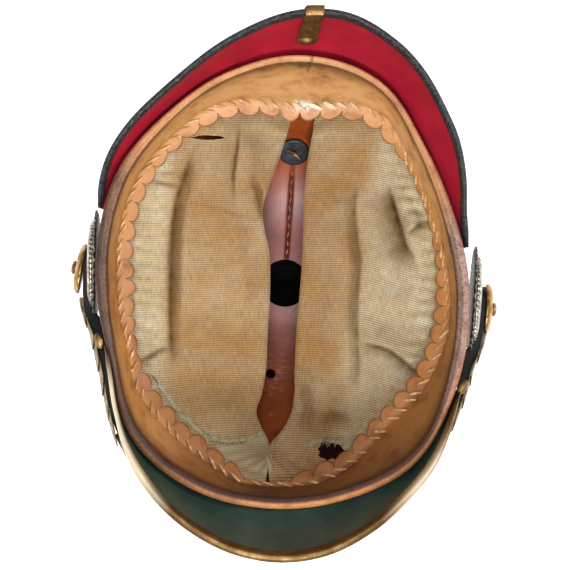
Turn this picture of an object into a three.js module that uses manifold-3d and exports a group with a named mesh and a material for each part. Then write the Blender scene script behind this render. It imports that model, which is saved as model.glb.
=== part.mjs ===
// Leather military helmet lying on its crown: hollow upwards, front towards -Y, right ear towards +X.
import * as THREE from "three";
import { LoftGeometry } from "three/addons/geometries/LoftGeometry.js";
import { mergeVertices } from "three/addons/utils/BufferGeometryUtils.js";
import Module from "manifold-3d";

const wasm = await Module();
wasm.setup();

// Millimetres. Bearings are degrees from the back of the helmet, clockwise seen from above.
const clearance = 0.4;
const baseHeight = 24;
const crownHeight = 118;
const rimHeight = baseHeight + crownHeight;
const crownPower = 2.3;
const shellWall = 3;
const ventRadius = 12.6;
const studHole = { radius: 2.65, fromAxis: 48.7, bearing: 184 };

const bandWall = 1.4;
const bandDepth = 38;
const rollHeight = 2;
const rollWidth = 5.6;
const scallopCount = 54;
const scallopShare = 0.6;
const laceDepth = 33;
const tongueReach = 6.5;

const linerThickness = 1.2;
const linerTuck = 36;
const linerDip = 8;
const linerSag = 27;

const peakLeather = 2.5;
const peakRootRise = 6;
const edgingReach = 4.2;
const edgingMetal = 0.7;

const spineWidth = 9;
const spineThickness = 1;
const spineBearing = 0.6;
const washer = { radius: 7.4, bore: 1.7, thickness: 1.4, fromAxis: 70, bearing: -1.2 };
const pin = { radius: 1.2, length: 9, width: 2, thickness: 0.9 };

const plateRadius = 57;
const plateThickness = 1.2;
const neckRadius = 23.4;
const neckBore = 13;

const cockadeRadius = 27.5;
const cockadeTeeth = 36;
const cockadeThickness = 1.4;
const ringRadius = 22.5;
const ringHeight = 2.2;
const rosetteRadius = 12.7;
const earDrop = 24;

const strapThickness = 2;
const strapWidth = 15;
const strapStand = 2.2;
const scalesPerSide = 12;
const scaleThickness = 0.8;
const scaleArch = 1.4;
const scaleLift = 1.8;

// Outline of the helmet as it lies, warped by age: the shell's cut edge and the sweatband's free tips.
const outline = [
  { bearing: 0, rim: 111.5, tip: 81.5 },
  { bearing: 20, rim: 109.0, tip: 88.6 },
  { bearing: 40, rim: 95.9, tip: 85.0 },
  { bearing: 60, rim: 89.4, tip: 78.5 },
  { bearing: 80, rim: 89.3, tip: 75.7 },
  { bearing: 100, rim: 92.7, tip: 76.5 },
  { bearing: 120, rim: 99.5, tip: 78.5 },
  { bearing: 140, rim: 108.8, tip: 80.5 },
  { bearing: 160, rim: 109.9, tip: 91.0 },
  { bearing: 180, rim: 110.4, tip: 96.0 },
  { bearing: 200, rim: 110.4, tip: 89.0 },
  { bearing: 220, rim: 106.3, tip: 84.5 },
  { bearing: 240, rim: 93.8, tip: 81.0 },
  { bearing: 260, rim: 92.0, tip: 75.5 },
  { bearing: 280, rim: 94.1, tip: 78.0 },
  { bearing: 300, rim: 98.5, tip: 83.5 },
  { bearing: 320, rim: 101.0, tip: 87.0 },
  { bearing: 340, rim: 106.8, tip: 86.5 },
];

// How far the neck guard's rounded edge stands out past the rim.
const rearOverhang = [
  { bearing: -76, overhang: 2.6 },
  { bearing: -62, overhang: 6.8 },
  { bearing: -50, overhang: 8.2 },
  { bearing: -30, overhang: 9.0 },
  { bearing: -15, overhang: 13.6 },
  { bearing: 0, overhang: 19.2 },
  { bearing: 8, overhang: 20.4 },
  { bearing: 20, overhang: 18.0 },
  { bearing: 35, overhang: 16.8 },
  { bearing: 45, overhang: 15.0 },
  { bearing: 54, overhang: 11.0 },
  { bearing: 64, overhang: 5.6 },
  { bearing: 76, overhang: 2.6 },
];

// The same for the front peak, whose edge is fuller on the left.
const frontOverhang = [
  { bearing: 117, overhang: 4.0 },
  { bearing: 126, overhang: 5.2 },
  { bearing: 135, overhang: 7.0 },
  { bearing: 145, overhang: 10.0 },
  { bearing: 155, overhang: 16.0 },
  { bearing: 165, overhang: 21.0 },
  { bearing: 175, overhang: 22.8 },
  { bearing: 185, overhang: 21.2 },
  { bearing: 195, overhang: 16.8 },
  { bearing: 205, overhang: 12.0 },
  { bearing: 213, overhang: 7.8 },
  { bearing: 222, overhang: 4.8 },
  { bearing: 246, overhang: 4.0 },
];

// The slit between the two lining panels, from the back to the front.
const slit = [
  { forward: -86, left: -3.6, right: 8.5 },
  { forward: -66, left: -8.0, right: 6.2 },
  { forward: -48, left: -12.8, right: 5.9 },
  { forward: -37, left: -14.7, right: 6.3 },
  { forward: -28, left: -13.3, right: 7.0 },
  { forward: -17, left: -9.8, right: 7.5 },
  { forward: 3, left: -7.4, right: 8.0 },
  { forward: 24, left: -6.7, right: 8.0 },
  { forward: 45, left: -5.9, right: 8.9 },
  { forward: 58, left: -6.9, right: 9.8 },
  { forward: 68, left: -8.9, right: 8.6 },
  { forward: 78, left: -4.3, right: 5.4 },
  { forward: 88, left: 0.4, right: 1.7 },
];

// Folds of the lining: the cloth stands higher on the left of the line from start to end.
const folds = [
  { startX: -54, startY: -56, endX: -64, endY: 56, rise: -7, width: 9, reach: 46 },
  { startX: -76, startY: 47, endX: -58, endY: 44, rise: 3, width: 7, reach: 12 },
  { startX: -68, startY: -46, endX: -58, endY: -38, rise: -3, width: 7, reach: 12 },
  { startX: 35, startY: 19, endX: 41, endY: -50, rise: -5, width: 8, reach: 26 },
  { startX: 46, startY: 58, endX: 62, endY: 22, rise: 6, width: 9, reach: 22 },
  { startX: 41, startY: -30, endX: 70, endY: -40, rise: 4, width: 7, reach: 16 },
];

function curveThrough(rows, key, column) {
  const values = rows.map((row) => row[column]);
  const curve = new THREE.CubicInterpolant(rows.map((row) => row[key]), values, 1);
  return (place) => curve.evaluate(place)[0];
}

const turns = [-360, 0, 360].flatMap((turn) =>
  outline.map((row) => ({ ...row, bearing: row.bearing + turn })));
const rimRadius = curveThrough(turns, "bearing", "rim");
const tipRadius = curveThrough(turns, "bearing", "tip");

function at(bearing, radius, height) {
  const turn = THREE.MathUtils.degToRad(bearing);
  return new THREE.Vector3(radius * Math.sin(turn), radius * Math.cos(turn), height);
}

function steps(start, end, count) {
  return Array.from({ length: count + 1 }, (_, i) => THREE.MathUtils.lerp(start, end, i / count));
}

// Skins the section, a ring of [radius, height] pairs, that stands at each bearing.
function around(bearings, sectionAt) {
  const sections = bearings.map((bearing) =>
    sectionAt(bearing).map(([radius, height]) => at(bearing, radius, height)));
  const ends = bearings.at(-1) - bearings[0] < 360;
  return new LoftGeometry(sections, { capStart: ends, capEnd: ends });
}

function facingOut(geometry) {
  const place = geometry.getAttribute("position");
  const order = geometry.index.array;
  let volume = 0;
  for (let i = 0; i < order.length; i += 3) {
    const [a, b, c] = [0, 1, 2].map((corner) =>
      new THREE.Vector3().fromBufferAttribute(place, order[i + corner]));
    volume += a.dot(b.cross(c));
  }
  if (volume < 0) order.reverse();
  return geometry;
}

function solidOf(geometry) {
  const bare = new THREE.BufferGeometry().copy(geometry);
  bare.deleteAttribute("normal");
  bare.deleteAttribute("uv");
  const welded = mergeVertices(bare, 1e-3);
  return new wasm.Manifold(new wasm.Mesh({
    numProp: 3,
    vertProperties: new Float32Array(welded.getAttribute("position").array),
    triVerts: new Uint32Array(welded.index.array),
  }));
}

function geometryOf(solid) {
  const mesh = solid.getMesh();
  const geometry = new THREE.BufferGeometry();
  geometry.setAttribute("position", new THREE.BufferAttribute(mesh.vertProperties, 3));
  geometry.setIndex(new THREE.BufferAttribute(mesh.triVerts, 1));
  return geometry;
}

function cut(body, ...tools) {
  return geometryOf(tools.reduce((rest, tool) => rest.subtract(solidOf(tool)), solidOf(body)));
}

function join(...bodies) {
  return geometryOf(bodies.map(solidOf).reduce((whole, body) => whole.add(body)));
}

const helmet = new THREE.Group();
helmet.name = "military_helmet";

function piece(name, geometry, look, parent = helmet) {
  const mesh = new THREE.Mesh(geometry, new THREE.MeshStandardMaterial(look));
  mesh.name = name;
  parent.add(mesh);
  return mesh;
}

const blackLeather = { color: "#2a2728", roughness: 0.4 };
const tanLeather = { color: "#b97f45", roughness: 0.6 };
const brass = { color: "#b08a45", roughness: 0.35, metalness: 1 };
const cloth = { color: "#bfa678", roughness: 0.9 };

// Crown: a domed shell whose plan is the outline and whose profile is a fuller curve than an ellipse.
function crownPoint(bearing, slope, wall) {
  const turn = THREE.MathUtils.degToRad(slope);
  const radius = (rimRadius(bearing) - wall) * Math.cos(turn) ** (2 / crownPower);
  return [radius, rimHeight - (crownHeight - wall) * Math.sin(turn) ** (2 / crownPower)];
}

function crownLevel(bearing, radius, wall) {
  const share = radius / (rimRadius(bearing) - wall);
  return rimHeight - (crownHeight - wall) * (1 - share ** crownPower) ** (1 / crownPower);
}

// Where a bearing and a distance from the axis meet the crown's inside, and the way it faces there.
function insideCrown({ bearing, fromAxis }) {
  const point = (turn, radius) => at(bearing + turn, radius, crownLevel(bearing + turn, radius, shellWall));
  const foot = point(0, fromAxis);
  const outwards = point(0, fromAxis + 0.5).sub(foot);
  const sideways = point(0.5, fromAxis).sub(foot);
  return { foot, facing: sideways.cross(outwards).normalize() };
}

function standing(geometry, foot, facing) {
  const turn = new THREE.Quaternion().setFromUnitVectors(new THREE.Vector3(0, 1, 0), facing);
  return geometry.applyQuaternion(turn).translate(foot.x, foot.y, foot.z);
}

const slopes = [0, 8, 18, 30, 42, 54, 66, 77];
const shellBody = around(steps(0, 360, 42), (bearing) => [
  [ventRadius, crownLevel(bearing, ventRadius, 0)],
  ...slopes.map((slope) => crownPoint(bearing, slope, 0)).reverse(),
  ...slopes.map((slope) => crownPoint(bearing, slope, shellWall)),
  [ventRadius, crownLevel(bearing, ventRadius, shellWall)],
]);
const pinSeat = insideCrown(washer);
const studSeat = insideCrown(studHole);
const pinHole = new THREE.CylinderGeometry(washer.bore, washer.bore, 20, 12);
const frontHole = new THREE.CylinderGeometry(studHole.radius, studHole.radius, 20, 16);
piece("shell", cut(
  shellBody,
  standing(pinHole, pinSeat.foot, pinSeat.facing),
  standing(frontHole, studSeat.foot, studSeat.facing),
), blackLeather);

// Sweatband: rolled over the shell's edge, down to the lace and from there in to a scalloped free edge.
function crownInside(bearing, depth) {
  const share = depth / (crownHeight - shellWall);
  return (rimRadius(bearing) - shellWall) * (1 - share ** crownPower) ** (1 / crownPower);
}

function bandBend(bearing) {
  const radius = Math.min(tipRadius(bearing) + tongueReach, crownInside(bearing, laceDepth) - 2.4);
  return new THREE.Vector2(radius, rimHeight - laceDepth);
}

// A point on the tongues' upper face, by its share of the way from the bend to their tips.
function tongueFace(bearing, share) {
  return bandBend(bearing).lerp(new THREE.Vector2(tipRadius(bearing), rimHeight - bandDepth), share);
}

function tongueEnd(bearing) {
  const place = (bearing * scallopCount / 360) % 1;
  return 1 - scallopShare * (1 - Math.sqrt(1 - (2 * place - 1) ** 2));
}

piece("sweatband", around(steps(0, 360, scallopCount * 3), (bearing) => {
  const rim = rimRadius(bearing);
  const bend = bandBend(bearing);
  const edge = tongueFace(bearing, tongueEnd(bearing));
  return [
    [edge.x + bandWall, edge.y],
    [bend.x + bandWall, bend.y],
    [rim - shellWall - 2 * clearance, rimHeight + clearance],
    [rim, rimHeight + clearance],
    [rim - 1, rimHeight + rollHeight],
    [rim - rollWidth + 1.2, rimHeight + rollHeight],
    [rim - rollWidth, rimHeight + 0.6],
    [bend.x, bend.y],
    [edge.x, edge.y],
  ];
}), tanLeather);

piece("lace", around(steps(0, 360, scallopCount), (bearing) => {
  const upper = tongueFace(bearing, 0.08);
  const lower = tongueFace(bearing, 0.32);
  return [
    [lower.x, lower.y + 0.5],
    [upper.x, upper.y + 0.5],
    [upper.x - 0.6, upper.y + 1.5],
    [lower.x - 0.6, lower.y + 1.5],
  ];
}), { color: "#c99a66", roughness: 0.7 });

// Lining: two panels hung behind the sweatband's tips, drooping to the slit between them.
function foldHeight(x, y) {
  return folds.reduce((height, fold) => {
    const along = new THREE.Vector2(fold.endX - fold.startX, fold.endY - fold.startY);
    const length = along.length();
    along.normalize();
    const from = new THREE.Vector2(x - fold.startX, y - fold.startY);
    const across = along.x * from.y - along.y * from.x;
    const place = along.dot(from) / length;
    const ends = [place, 1 - place].map((share) => THREE.MathUtils.smoothstep(share, -0.15, 0.2));
    const side = fold.rise < 0 ? -across : across;
    const face = THREE.MathUtils.smoothstep(side, -fold.width / 2, fold.width / 2);
    const fall = 1 - THREE.MathUtils.smoothstep(side, fold.width / 2, fold.width / 2 + fold.reach);
    return height + Math.abs(fold.rise) * face * fall * ends[0] * ends[1];
  }, 0);
}

function tuckRadius(bearing) {
  const tongue = tongueFace(bearing, (linerTuck - laceDepth) / (bandDepth - laceDepth)).x;
  const room = crownInside(bearing, linerTuck + linerThickness) - 0.5;
  return Math.min(tongue + bandWall + clearance + 1.1, room);
}

function linerPanel(column, firstBearing, lastBearing) {
  const slitAt = curveThrough(slit, "forward", column);
  const shares = [0, 0.05, 0.1, 0.18, 0.27, 0.36, 0.45, 0.55, 0.66, 0.78, 0.9, 1];
  const sections = steps(0, 1, 14).map((place) => {
    const bearing = THREE.MathUtils.lerp(firstBearing, lastBearing, place);
    const outer = at(bearing, tuckRadius(bearing), 0);
    const forward = 3 - 84.5 * Math.cos(Math.PI * place);
    const inner = new THREE.Vector3(slitAt(forward), -forward, 0);
    const run = outer.distanceTo(inner);
    const slack = linerSag * THREE.MathUtils.smoothstep(run, 4, 36);
    const top = shares.map((share) => {
      const point = outer.clone().lerp(inner, share);
      const dip = linerDip * THREE.MathUtils.smoothstep(share * run, 0, 5);
      const hold = THREE.MathUtils.smoothstep(share * run, 6, 22);
      const sag = slack * share * (2 - share);
      point.z = rimHeight - linerTuck - dip - sag + hold * foldHeight(point.x, point.y);
      return point;
    });
    const under = top.map((point) => point.clone().setZ(point.z - linerThickness)).reverse();
    return [...top, ...under];
  });
  const hem = (section) => section.map((point, i) => point.clone().lerp(section.at(-1 - i), 0.5));
  return facingOut(new LoftGeometry([hem(sections[0]), ...sections, hem(sections.at(-1))]));
}

piece("liner_left", linerPanel("left", 356, 180.7), cloth);
piece("liner_right", linerPanel("right", 5, 179.3), cloth);

// Peaks: leather on a curved fall from the rim, with an edging in a channel section.
const rearReach = curveThrough(rearOverhang, "bearing", "overhang");
const frontReach = curveThrough(frontOverhang, "bearing", "overhang");

const frontPeak = { from: 117, to: 246, drop: 28, reach: frontReach };
const rearPeak = { from: -73, to: 74, drop: 30, reach: rearReach };

function peakShape(peak, bearing) {
  const middle = (peak.from + peak.to) / 2;
  const place = Math.abs(bearing - middle) / (peak.to - middle);
  const half = peakLeather / 2 * (1 - 0.5 * place ** 4);
  const rim = rimRadius(bearing);
  const root = new THREE.Vector2(rim + clearance + half + 1.1 * place ** 4, rimHeight - peakRootRise);
  const edgeRadius = Math.max(rim + peak.reach(bearing) - 1.8, root.x);
  const edge = new THREE.Vector2(edgeRadius, rimHeight + peak.drop * (1 - place ** 2.2));
  const bend = new THREE.Vector2(
    THREE.MathUtils.lerp(root.x, edge.x, 0.62),
    THREE.MathUtils.lerp(root.y, edge.y, 0.3),
  );
  return { half, curve: new THREE.QuadraticBezierCurve(root, bend, edge) };
}

// A point beside the peak's middle line: share of the way to its edge, past the edge, towards its underside.
function peakPoint({ curve }, share, past, under) {
  const point = curve.getPoint(share);
  const along = curve.getTangent(share);
  return [point.x + along.x * past - along.y * under, point.y + along.y * past + along.x * under];
}

function peakLeatherBody(peak) {
  const shares = [0, 0.4, 0.75, 1];
  return around(steps(peak.from, peak.to, 20), (bearing) => {
    const shape = peakShape(peak, bearing);
    return [
      ...shares.map((share) => peakPoint(shape, share, 0, -shape.half)),
      ...shares.map((share) => peakPoint(shape, share, 0, shape.half)).reverse(),
    ];
  });
}

function edging(peak) {
  return around(steps(peak.from, peak.to, 20), (bearing) => {
    const shape = peakShape(peak, bearing);
    const inner = shape.half + 0.3;
    const outer = inner + edgingMetal;
    return [
      peakPoint(shape, 1, -edgingReach, -outer),
      peakPoint(shape, 1, 0.2, -outer),
      peakPoint(shape, 1, 1.3, -outer * 0.5),
      peakPoint(shape, 1, 1.3, outer * 0.5),
      peakPoint(shape, 1, 0.2, outer),
      peakPoint(shape, 1, -edgingReach, outer),
      peakPoint(shape, 1, -edgingReach, inner),
      peakPoint(shape, 1, 0.35, inner),
      peakPoint(shape, 1, 0.35, -inner),
      peakPoint(shape, 1, -edgingReach, -inner),
    ];
  });
}

piece("front_peak", peakLeatherBody(frontPeak), { color: "#2f4038", roughness: 0.5 });
piece("front_peak_trim", edging(frontPeak), brass);
piece("rear_peak", peakLeatherBody(rearPeak), { color: "#b3202e", roughness: 0.6 });
piece("rear_peak_binding", edging(rearPeak), blackLeather);

for (const [side, bearing] of [["right", frontPeak.from - 1.65], ["left", frontPeak.to + 1.75]]) {
  const rivet = new THREE.SphereGeometry(2.2, 8, 6);
  const centre = at(bearing, rimRadius(bearing) + 2.8, rimHeight - 1);
  piece(`trim_rivet_${side}`, rivet.translate(centre.x, centre.y, centre.z), brass);
}

// Spine: a brass strip down the back of the crown, over the neck guard's edge and hooked back under it.
const spineStand = peakLeather / 2 + 0.3 + edgingMetal + 1.6 * clearance;
const spineStops = [
  ...[61, 52, 42, 32, 22, 12, 7].map((slope) => ({ slope })),
  ...[0, 0.35, 0.7, 1].map((share) => ({ share, past: 0, side: -1 })),
  { share: 1, past: 1.9, side: -0.5 },
  { share: 1, past: 1.9, side: 0.5 },
  ...[1, 0.75, 0.5, 0.28].map((share) => ({ share, past: 0, side: 1 })),
];

function spinePoint({ slope, share, past, side }, bearing, lift) {
  if (slope !== undefined) return crownPoint(bearing, slope, -1.6 * clearance - lift);
  const beyond = past > 0 ? past + lift : 0;
  return peakPoint(peakShape(rearPeak, bearing), share, beyond, side * (spineStand + lift));
}

const spineSections = spineStops.map((stop) => {
  const [radius] = spinePoint(stop, spineBearing, 0);
  const spread = THREE.MathUtils.radToDeg(spineWidth / 2 / radius);
  return [[-1, 0], [1, 0], [1, 1], [-1, 1]].map(([hand, face]) => {
    const bearing = spineBearing + hand * spread;
    return at(bearing, ...spinePoint(stop, bearing, face * spineThickness));
  });
});
const bossStop = { share: 0.4, past: 0, side: 1 };
const bossAt = at(spineBearing, ...spinePoint(bossStop, spineBearing, spineThickness));
piece("rear_spine", join(
  facingOut(new LoftGeometry(spineSections, { capStart: true, capEnd: true })),
  new THREE.SphereGeometry(2.3, 10, 8).translate(bossAt.x, bossAt.y, bossAt.z),
), brass);

// Fixing of the spine inside the crown: a black washer under the spread legs of a split pin.
const washerGap = 1.3;
const washerTop = washerGap + washer.thickness;
const washerRing = new THREE.LatheGeometry([
  new THREE.Vector2(washer.bore, washerGap),
  new THREE.Vector2(washer.radius, washerGap),
  new THREE.Vector2(washer.radius - 0.6, washerTop),
  new THREE.Vector2(washer.bore, washerTop),
  new THREE.Vector2(washer.bore, washerGap),
], 20);
piece("spine_washer", facingOut(standing(washerRing, pinSeat.foot, pinSeat.facing)), {
  color: "#35363a",
  roughness: 0.5,
});

const legsAt = washerTop + 0.3 + pin.thickness / 2;
const legs = new THREE.BoxGeometry(pin.length, pin.thickness, pin.width).rotateY(-0.75);
legs.translate(0, legsAt, 0);
const shankLength = legsAt + shellWall - 0.2;
const shank = new THREE.CylinderGeometry(pin.radius, pin.radius, shankLength, 10);
shank.translate(0, legsAt - shankLength / 2, 0);
piece("spine_split_pin", standing(join(legs, shank), pinSeat.foot, pinSeat.facing), brass);

// Base: a plate moulded to the crown, with a hollow neck closed by the flat face that the helmet lies on.
const plateLevel = (bearing, radius) => crownLevel(bearing, radius, 0) - 2 * clearance;
const plate = around(steps(0, 360, 24), (bearing) => [
  [neckBore, 22],
  [27, 22.6],
  [33, plateLevel(bearing, 33) - plateThickness - 0.4],
  [45, plateLevel(bearing, 45) - plateThickness],
  [plateRadius, plateLevel(bearing, plateRadius) - plateThickness],
  [plateRadius + 0.4, plateLevel(bearing, plateRadius) - plateThickness / 2],
  [plateRadius, plateLevel(bearing, plateRadius)],
  [45, plateLevel(bearing, 45)],
  [33, plateLevel(bearing, 33)],
  [neckBore, plateLevel(bearing, neckBore)],
]);
const neck = new THREE.LatheGeometry([
  new THREE.Vector2(0, 0),
  new THREE.Vector2(neckRadius - 1, 0),
  new THREE.Vector2(neckRadius, 1),
  new THREE.Vector2(neckRadius, 8.5),
  new THREE.Vector2(neckRadius + 3, 10.5),
  new THREE.Vector2(neckRadius + 3, 13),
  new THREE.Vector2(neckRadius + 0.6, 15),
  new THREE.Vector2(neckRadius + 0.6, 23),
  new THREE.Vector2(neckBore, 23),
  new THREE.Vector2(neckBore, 2),
  new THREE.Vector2(0, 2),
], 24).rotateX(Math.PI / 2);
piece("crown_base", join(plate, facingOut(neck)), brass);

// Ears: toothed cockade, ring and rosette on one axis square to the side of the helmet.
function cockadeShape() {
  const points = steps(0, cockadeTeeth * 2 - 1, cockadeTeeth * 2 - 1).map((i) => {
    const radius = i % 2 ? cockadeRadius : cockadeRadius - 1.3;
    const turn = Math.PI * i / cockadeTeeth;
    return new THREE.Vector2(radius * Math.cos(turn), radius * Math.sin(turn));
  });
  return new THREE.Shape(points);
}

function lathe(profile, segments) {
  const points = profile.map(([radius, height]) => new THREE.Vector2(radius, height));
  return facingOut(new THREE.LatheGeometry(points, segments)).rotateX(Math.PI / 2);
}

const ears = [
  { side: "right", x: 93.2, y: -0.8, turn: 0, rosetteShift: -3.6 },
  { side: "left", x: -93.9, y: 0.8, turn: 184, rosetteShift: 2.2 },
];
for (const { side, x, y, turn, rosetteShift } of ears) {
  const ear = new THREE.Group();
  ear.rotation.set(0, Math.PI / 2, 0);
  const yaw = new THREE.Group();
  yaw.position.set(x, y, rimHeight - earDrop);
  yaw.rotation.z = THREE.MathUtils.degToRad(turn);
  yaw.add(ear);
  helmet.add(yaw);
  const disc = new THREE.ExtrudeGeometry(cockadeShape(), { depth: cockadeThickness, bevelEnabled: false });
  piece(`cockade_disc_${side}`, disc, { color: "#9a8f7c", roughness: 0.4, metalness: 1 }, ear);
  piece(`cockade_ring_${side}`, lathe([
    [0, 1.8],
    [ringRadius, 1.8],
    [ringRadius, 2.4],
    [ringRadius - 2.5, 3.3],
    [ringRadius - 8, 1.8 + ringHeight],
    [0, 1.8 + ringHeight],
  ], 24), { color: "#d8d2c8", roughness: 0.35, metalness: 1 }, ear);
  const rosette = lathe([
    [0, 6.8],
    [rosetteRadius - 0.5, 6.8],
    [rosetteRadius, 7.4],
    [rosetteRadius - 1.6, 8.5],
    [7.2, 9.6],
    [3.2, 10.1],
    [3.5, 11.3],
    [2.2, 12.5],
    [0, 12.8],
  ], 14);
  piece(`rosette_${side}`, rosette.translate(0, rosetteShift, 0), brass, ear);
}

// Chin strap: a leather band from ear to ear round the front, carrying overlapping brass scales.
const earAngle = (bearing) => Math.min(Math.abs(bearing - 91), Math.abs(bearing - 269));

function strapRadius(bearing) {
  const ear = ears[bearing < 180 ? 0 : 1];
  const turn = THREE.MathUtils.degToRad(ear.turn);
  const out = new THREE.Vector3(Math.cos(turn), Math.sin(turn), 0);
  const face = out.dot(new THREE.Vector3(ear.x, ear.y, 0)) + 1.8 + ringHeight + clearance;
  const free = THREE.MathUtils.smoothstep(earAngle(bearing), 7, 26);
  const loose = rimRadius(bearing) + strapStand;
  return free < 1 ? THREE.MathUtils.lerp(face / out.dot(at(bearing, 1, 0)), loose, free) : loose;
}

function strapLevel(bearing) {
  return rimHeight - THREE.MathUtils.lerp(earDrop, 15, THREE.MathUtils.smoothstep(earAngle(bearing), 8, 34));
}

piece("chin_strap", around(steps(83, 277, 38), (bearing) => {
  const inner = strapRadius(bearing);
  const level = strapLevel(bearing);
  return [
    [inner + strapThickness, level - strapWidth / 2],
    [inner + strapThickness, level + strapWidth / 2],
    [inner, level + strapWidth / 2],
    [inner, level - strapWidth / 2],
  ];
}), blackLeather);

const scalePitch = 6.3;
for (const side of ["right", "left"]) {
  for (let i = 0; i < scalesPerSide; i += 1) {
    const start = 101 + i * scalePitch;
    const width = THREE.MathUtils.lerp(19, 14, i / (scalesPerSide - 1));
    const scale = around([start, start + scalePitch * 1.25], (place) => {
      const bearing = side === "right" ? place : 360 - place;
      const lift = scaleLift * (place - start) / (scalePitch * 1.25);
      const foot = strapRadius(bearing) + strapThickness + clearance + lift;
      const level = strapLevel(bearing);
      const arch = [[-0.5, 0], [-0.22, scaleArch], [0.22, scaleArch], [0.5, 0]];
      return [
        ...arch.map(([across, out]) => [foot + out + scaleThickness, level + across * width]),
        ...arch.map(([across, out]) => [foot + out, level + across * width]).reverse(),
      ];
    });
    if (side === "left") scale.scale(-1, 1, 1);
    piece(`chin_scale_${side}_${String(i + 1).padStart(2, "0")}`, facingOut(scale), brass);
  }
}

export default helmet;
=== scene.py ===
import bisect
import functools
import math
import random

import bpy
from mathutils import Matrix, Vector, noise


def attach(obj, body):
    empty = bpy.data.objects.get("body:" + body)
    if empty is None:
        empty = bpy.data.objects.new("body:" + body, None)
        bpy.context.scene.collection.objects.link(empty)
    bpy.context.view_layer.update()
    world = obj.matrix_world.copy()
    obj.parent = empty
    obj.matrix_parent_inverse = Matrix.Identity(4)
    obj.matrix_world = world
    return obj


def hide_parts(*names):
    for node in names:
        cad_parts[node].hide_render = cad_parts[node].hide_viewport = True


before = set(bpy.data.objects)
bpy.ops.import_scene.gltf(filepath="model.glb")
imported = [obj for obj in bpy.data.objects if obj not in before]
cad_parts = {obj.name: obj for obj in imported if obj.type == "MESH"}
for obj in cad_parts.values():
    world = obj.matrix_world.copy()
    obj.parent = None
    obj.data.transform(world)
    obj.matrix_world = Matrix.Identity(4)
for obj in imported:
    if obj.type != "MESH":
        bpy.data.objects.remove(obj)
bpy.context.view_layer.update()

mm = 0.001
body = "root"


# camera and light

print("stage: camera and light")
shot = {"x": 0.000085, "y": -0.00098, "height": 1.342, "turn": 5.0, "lens": 155.4}
studio = {"world": 0.26, "top": 12.0, "front": 26.0, "left": 4.0, "right": 12.0, "floor": 0.75}

bpy.ops.object.select_all(action="DESELECT")
bpy.ops.object.camera_add(location=(shot["x"], shot["y"], shot["height"]),
                          rotation=(0, 0, math.radians(shot["turn"])))
camera = bpy.context.object
camera.data.lens = shot["lens"]
camera.data.sensor_width = 36
bpy.context.scene.camera = camera
bpy.context.scene.view_settings.view_transform = "Standard"


def softbox(name, place, aim, size, power):
    bpy.ops.object.light_add(type="AREA", location=place)
    lamp = bpy.context.object
    lamp.name = name
    lamp.data.size = size
    lamp.data.energy = power
    lamp.rotation_euler = (Vector(aim) - Vector(place)).to_track_quat("-Z", "Y").to_euler()


softbox("top_softbox", (0.0, 0.1, 1.9), (0, 0, 0.1), 0.6, studio["top"])
softbox("front_softbox", (0.1, -1.15, 1.65), (0, 0, 0.12), 0.55, studio["front"])
softbox("left_softbox", (-1.3, -0.5, 1.2), (0, 0, 0.1), 0.5, studio["left"])
softbox("right_softbox", (1.35, 0.25, 1.1), (0, 0, 0.1), 0.45, studio["right"])

world = bpy.data.worlds.new("studio")
bpy.context.scene.world = world
world.use_nodes = True
world.node_tree.nodes["Background"].inputs["Strength"].default_value = studio["world"]
world.node_tree.nodes["Background"].inputs["Color"].default_value = (1, 1, 1, 1)


# materials, and the floor

print("stage: materials")


def linear(hexColour):
    parts = [int(hexColour[i:i + 2], 16) / 255 for i in (1, 3, 5)]
    return [c / 12.92 if c <= 0.04045 else ((c + 0.055) / 1.055) ** 2.4 for c in parts] + [1]


# adds a node and gives one of its outputs; a setting is an input's value, an output to link to it, a
# property, the stops of a ramp, or the size of a pattern in mm
def addNode(tree, kind, settings, output=0):
    node = tree.nodes.new("ShaderNode" + kind)
    for key, value in settings.items():
        if key == "stops":
            ramp = node.color_ramp.elements
            while len(ramp) < len(value):
                ramp.new(0.5)
            for element, (place, colour) in zip(ramp, value):
                element.position = place
                element.color = linear(colour) if isinstance(colour, str) else (colour, colour, colour, 1)
        elif key == "size":
            node.inputs["Scale"].default_value = 1 / (value * mm)
        elif isinstance(value, bpy.types.NodeSocket):
            tree.links.new(value, node.inputs[key])
        elif isinstance(key, int) or key in node.inputs:
            node.inputs[key].default_value = linear(value) if isinstance(value, str) else value
        else:
            setattr(node, key, value)
    return node.outputs[output] if node.outputs else node


def newMaterial(name):
    material = bpy.data.materials.new(name)
    material.use_nodes = True
    material.node_tree.nodes.clear()
    return material, functools.partial(addNode, material.node_tree)


# settings of a Mix node: factor is input 0, the colours are 6 and 7, and output 2 is the colour
blend = {"data_type": "RGBA", "blend_type": "MIX"}
multiply = {"data_type": "RGBA", "blend_type": "MULTIPLY"}

# white painted board, lit so that it reads as the studio's paper
paper, add = newMaterial("white painted board")
add("OutputMaterial", {"Surface": add("BsdfPrincipled", {
    "Base Color": "#f6f6f6", "Roughness": 0.9, "Emission Color": "#ffffff",
    "Emission Strength": studio["floor"]})})

bpy.ops.object.select_all(action="DESELECT")
bpy.ops.mesh.primitive_plane_add(size=6)
floor = bpy.context.object
floor.name = "floor"
floor.data.materials.append(paper)

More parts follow.
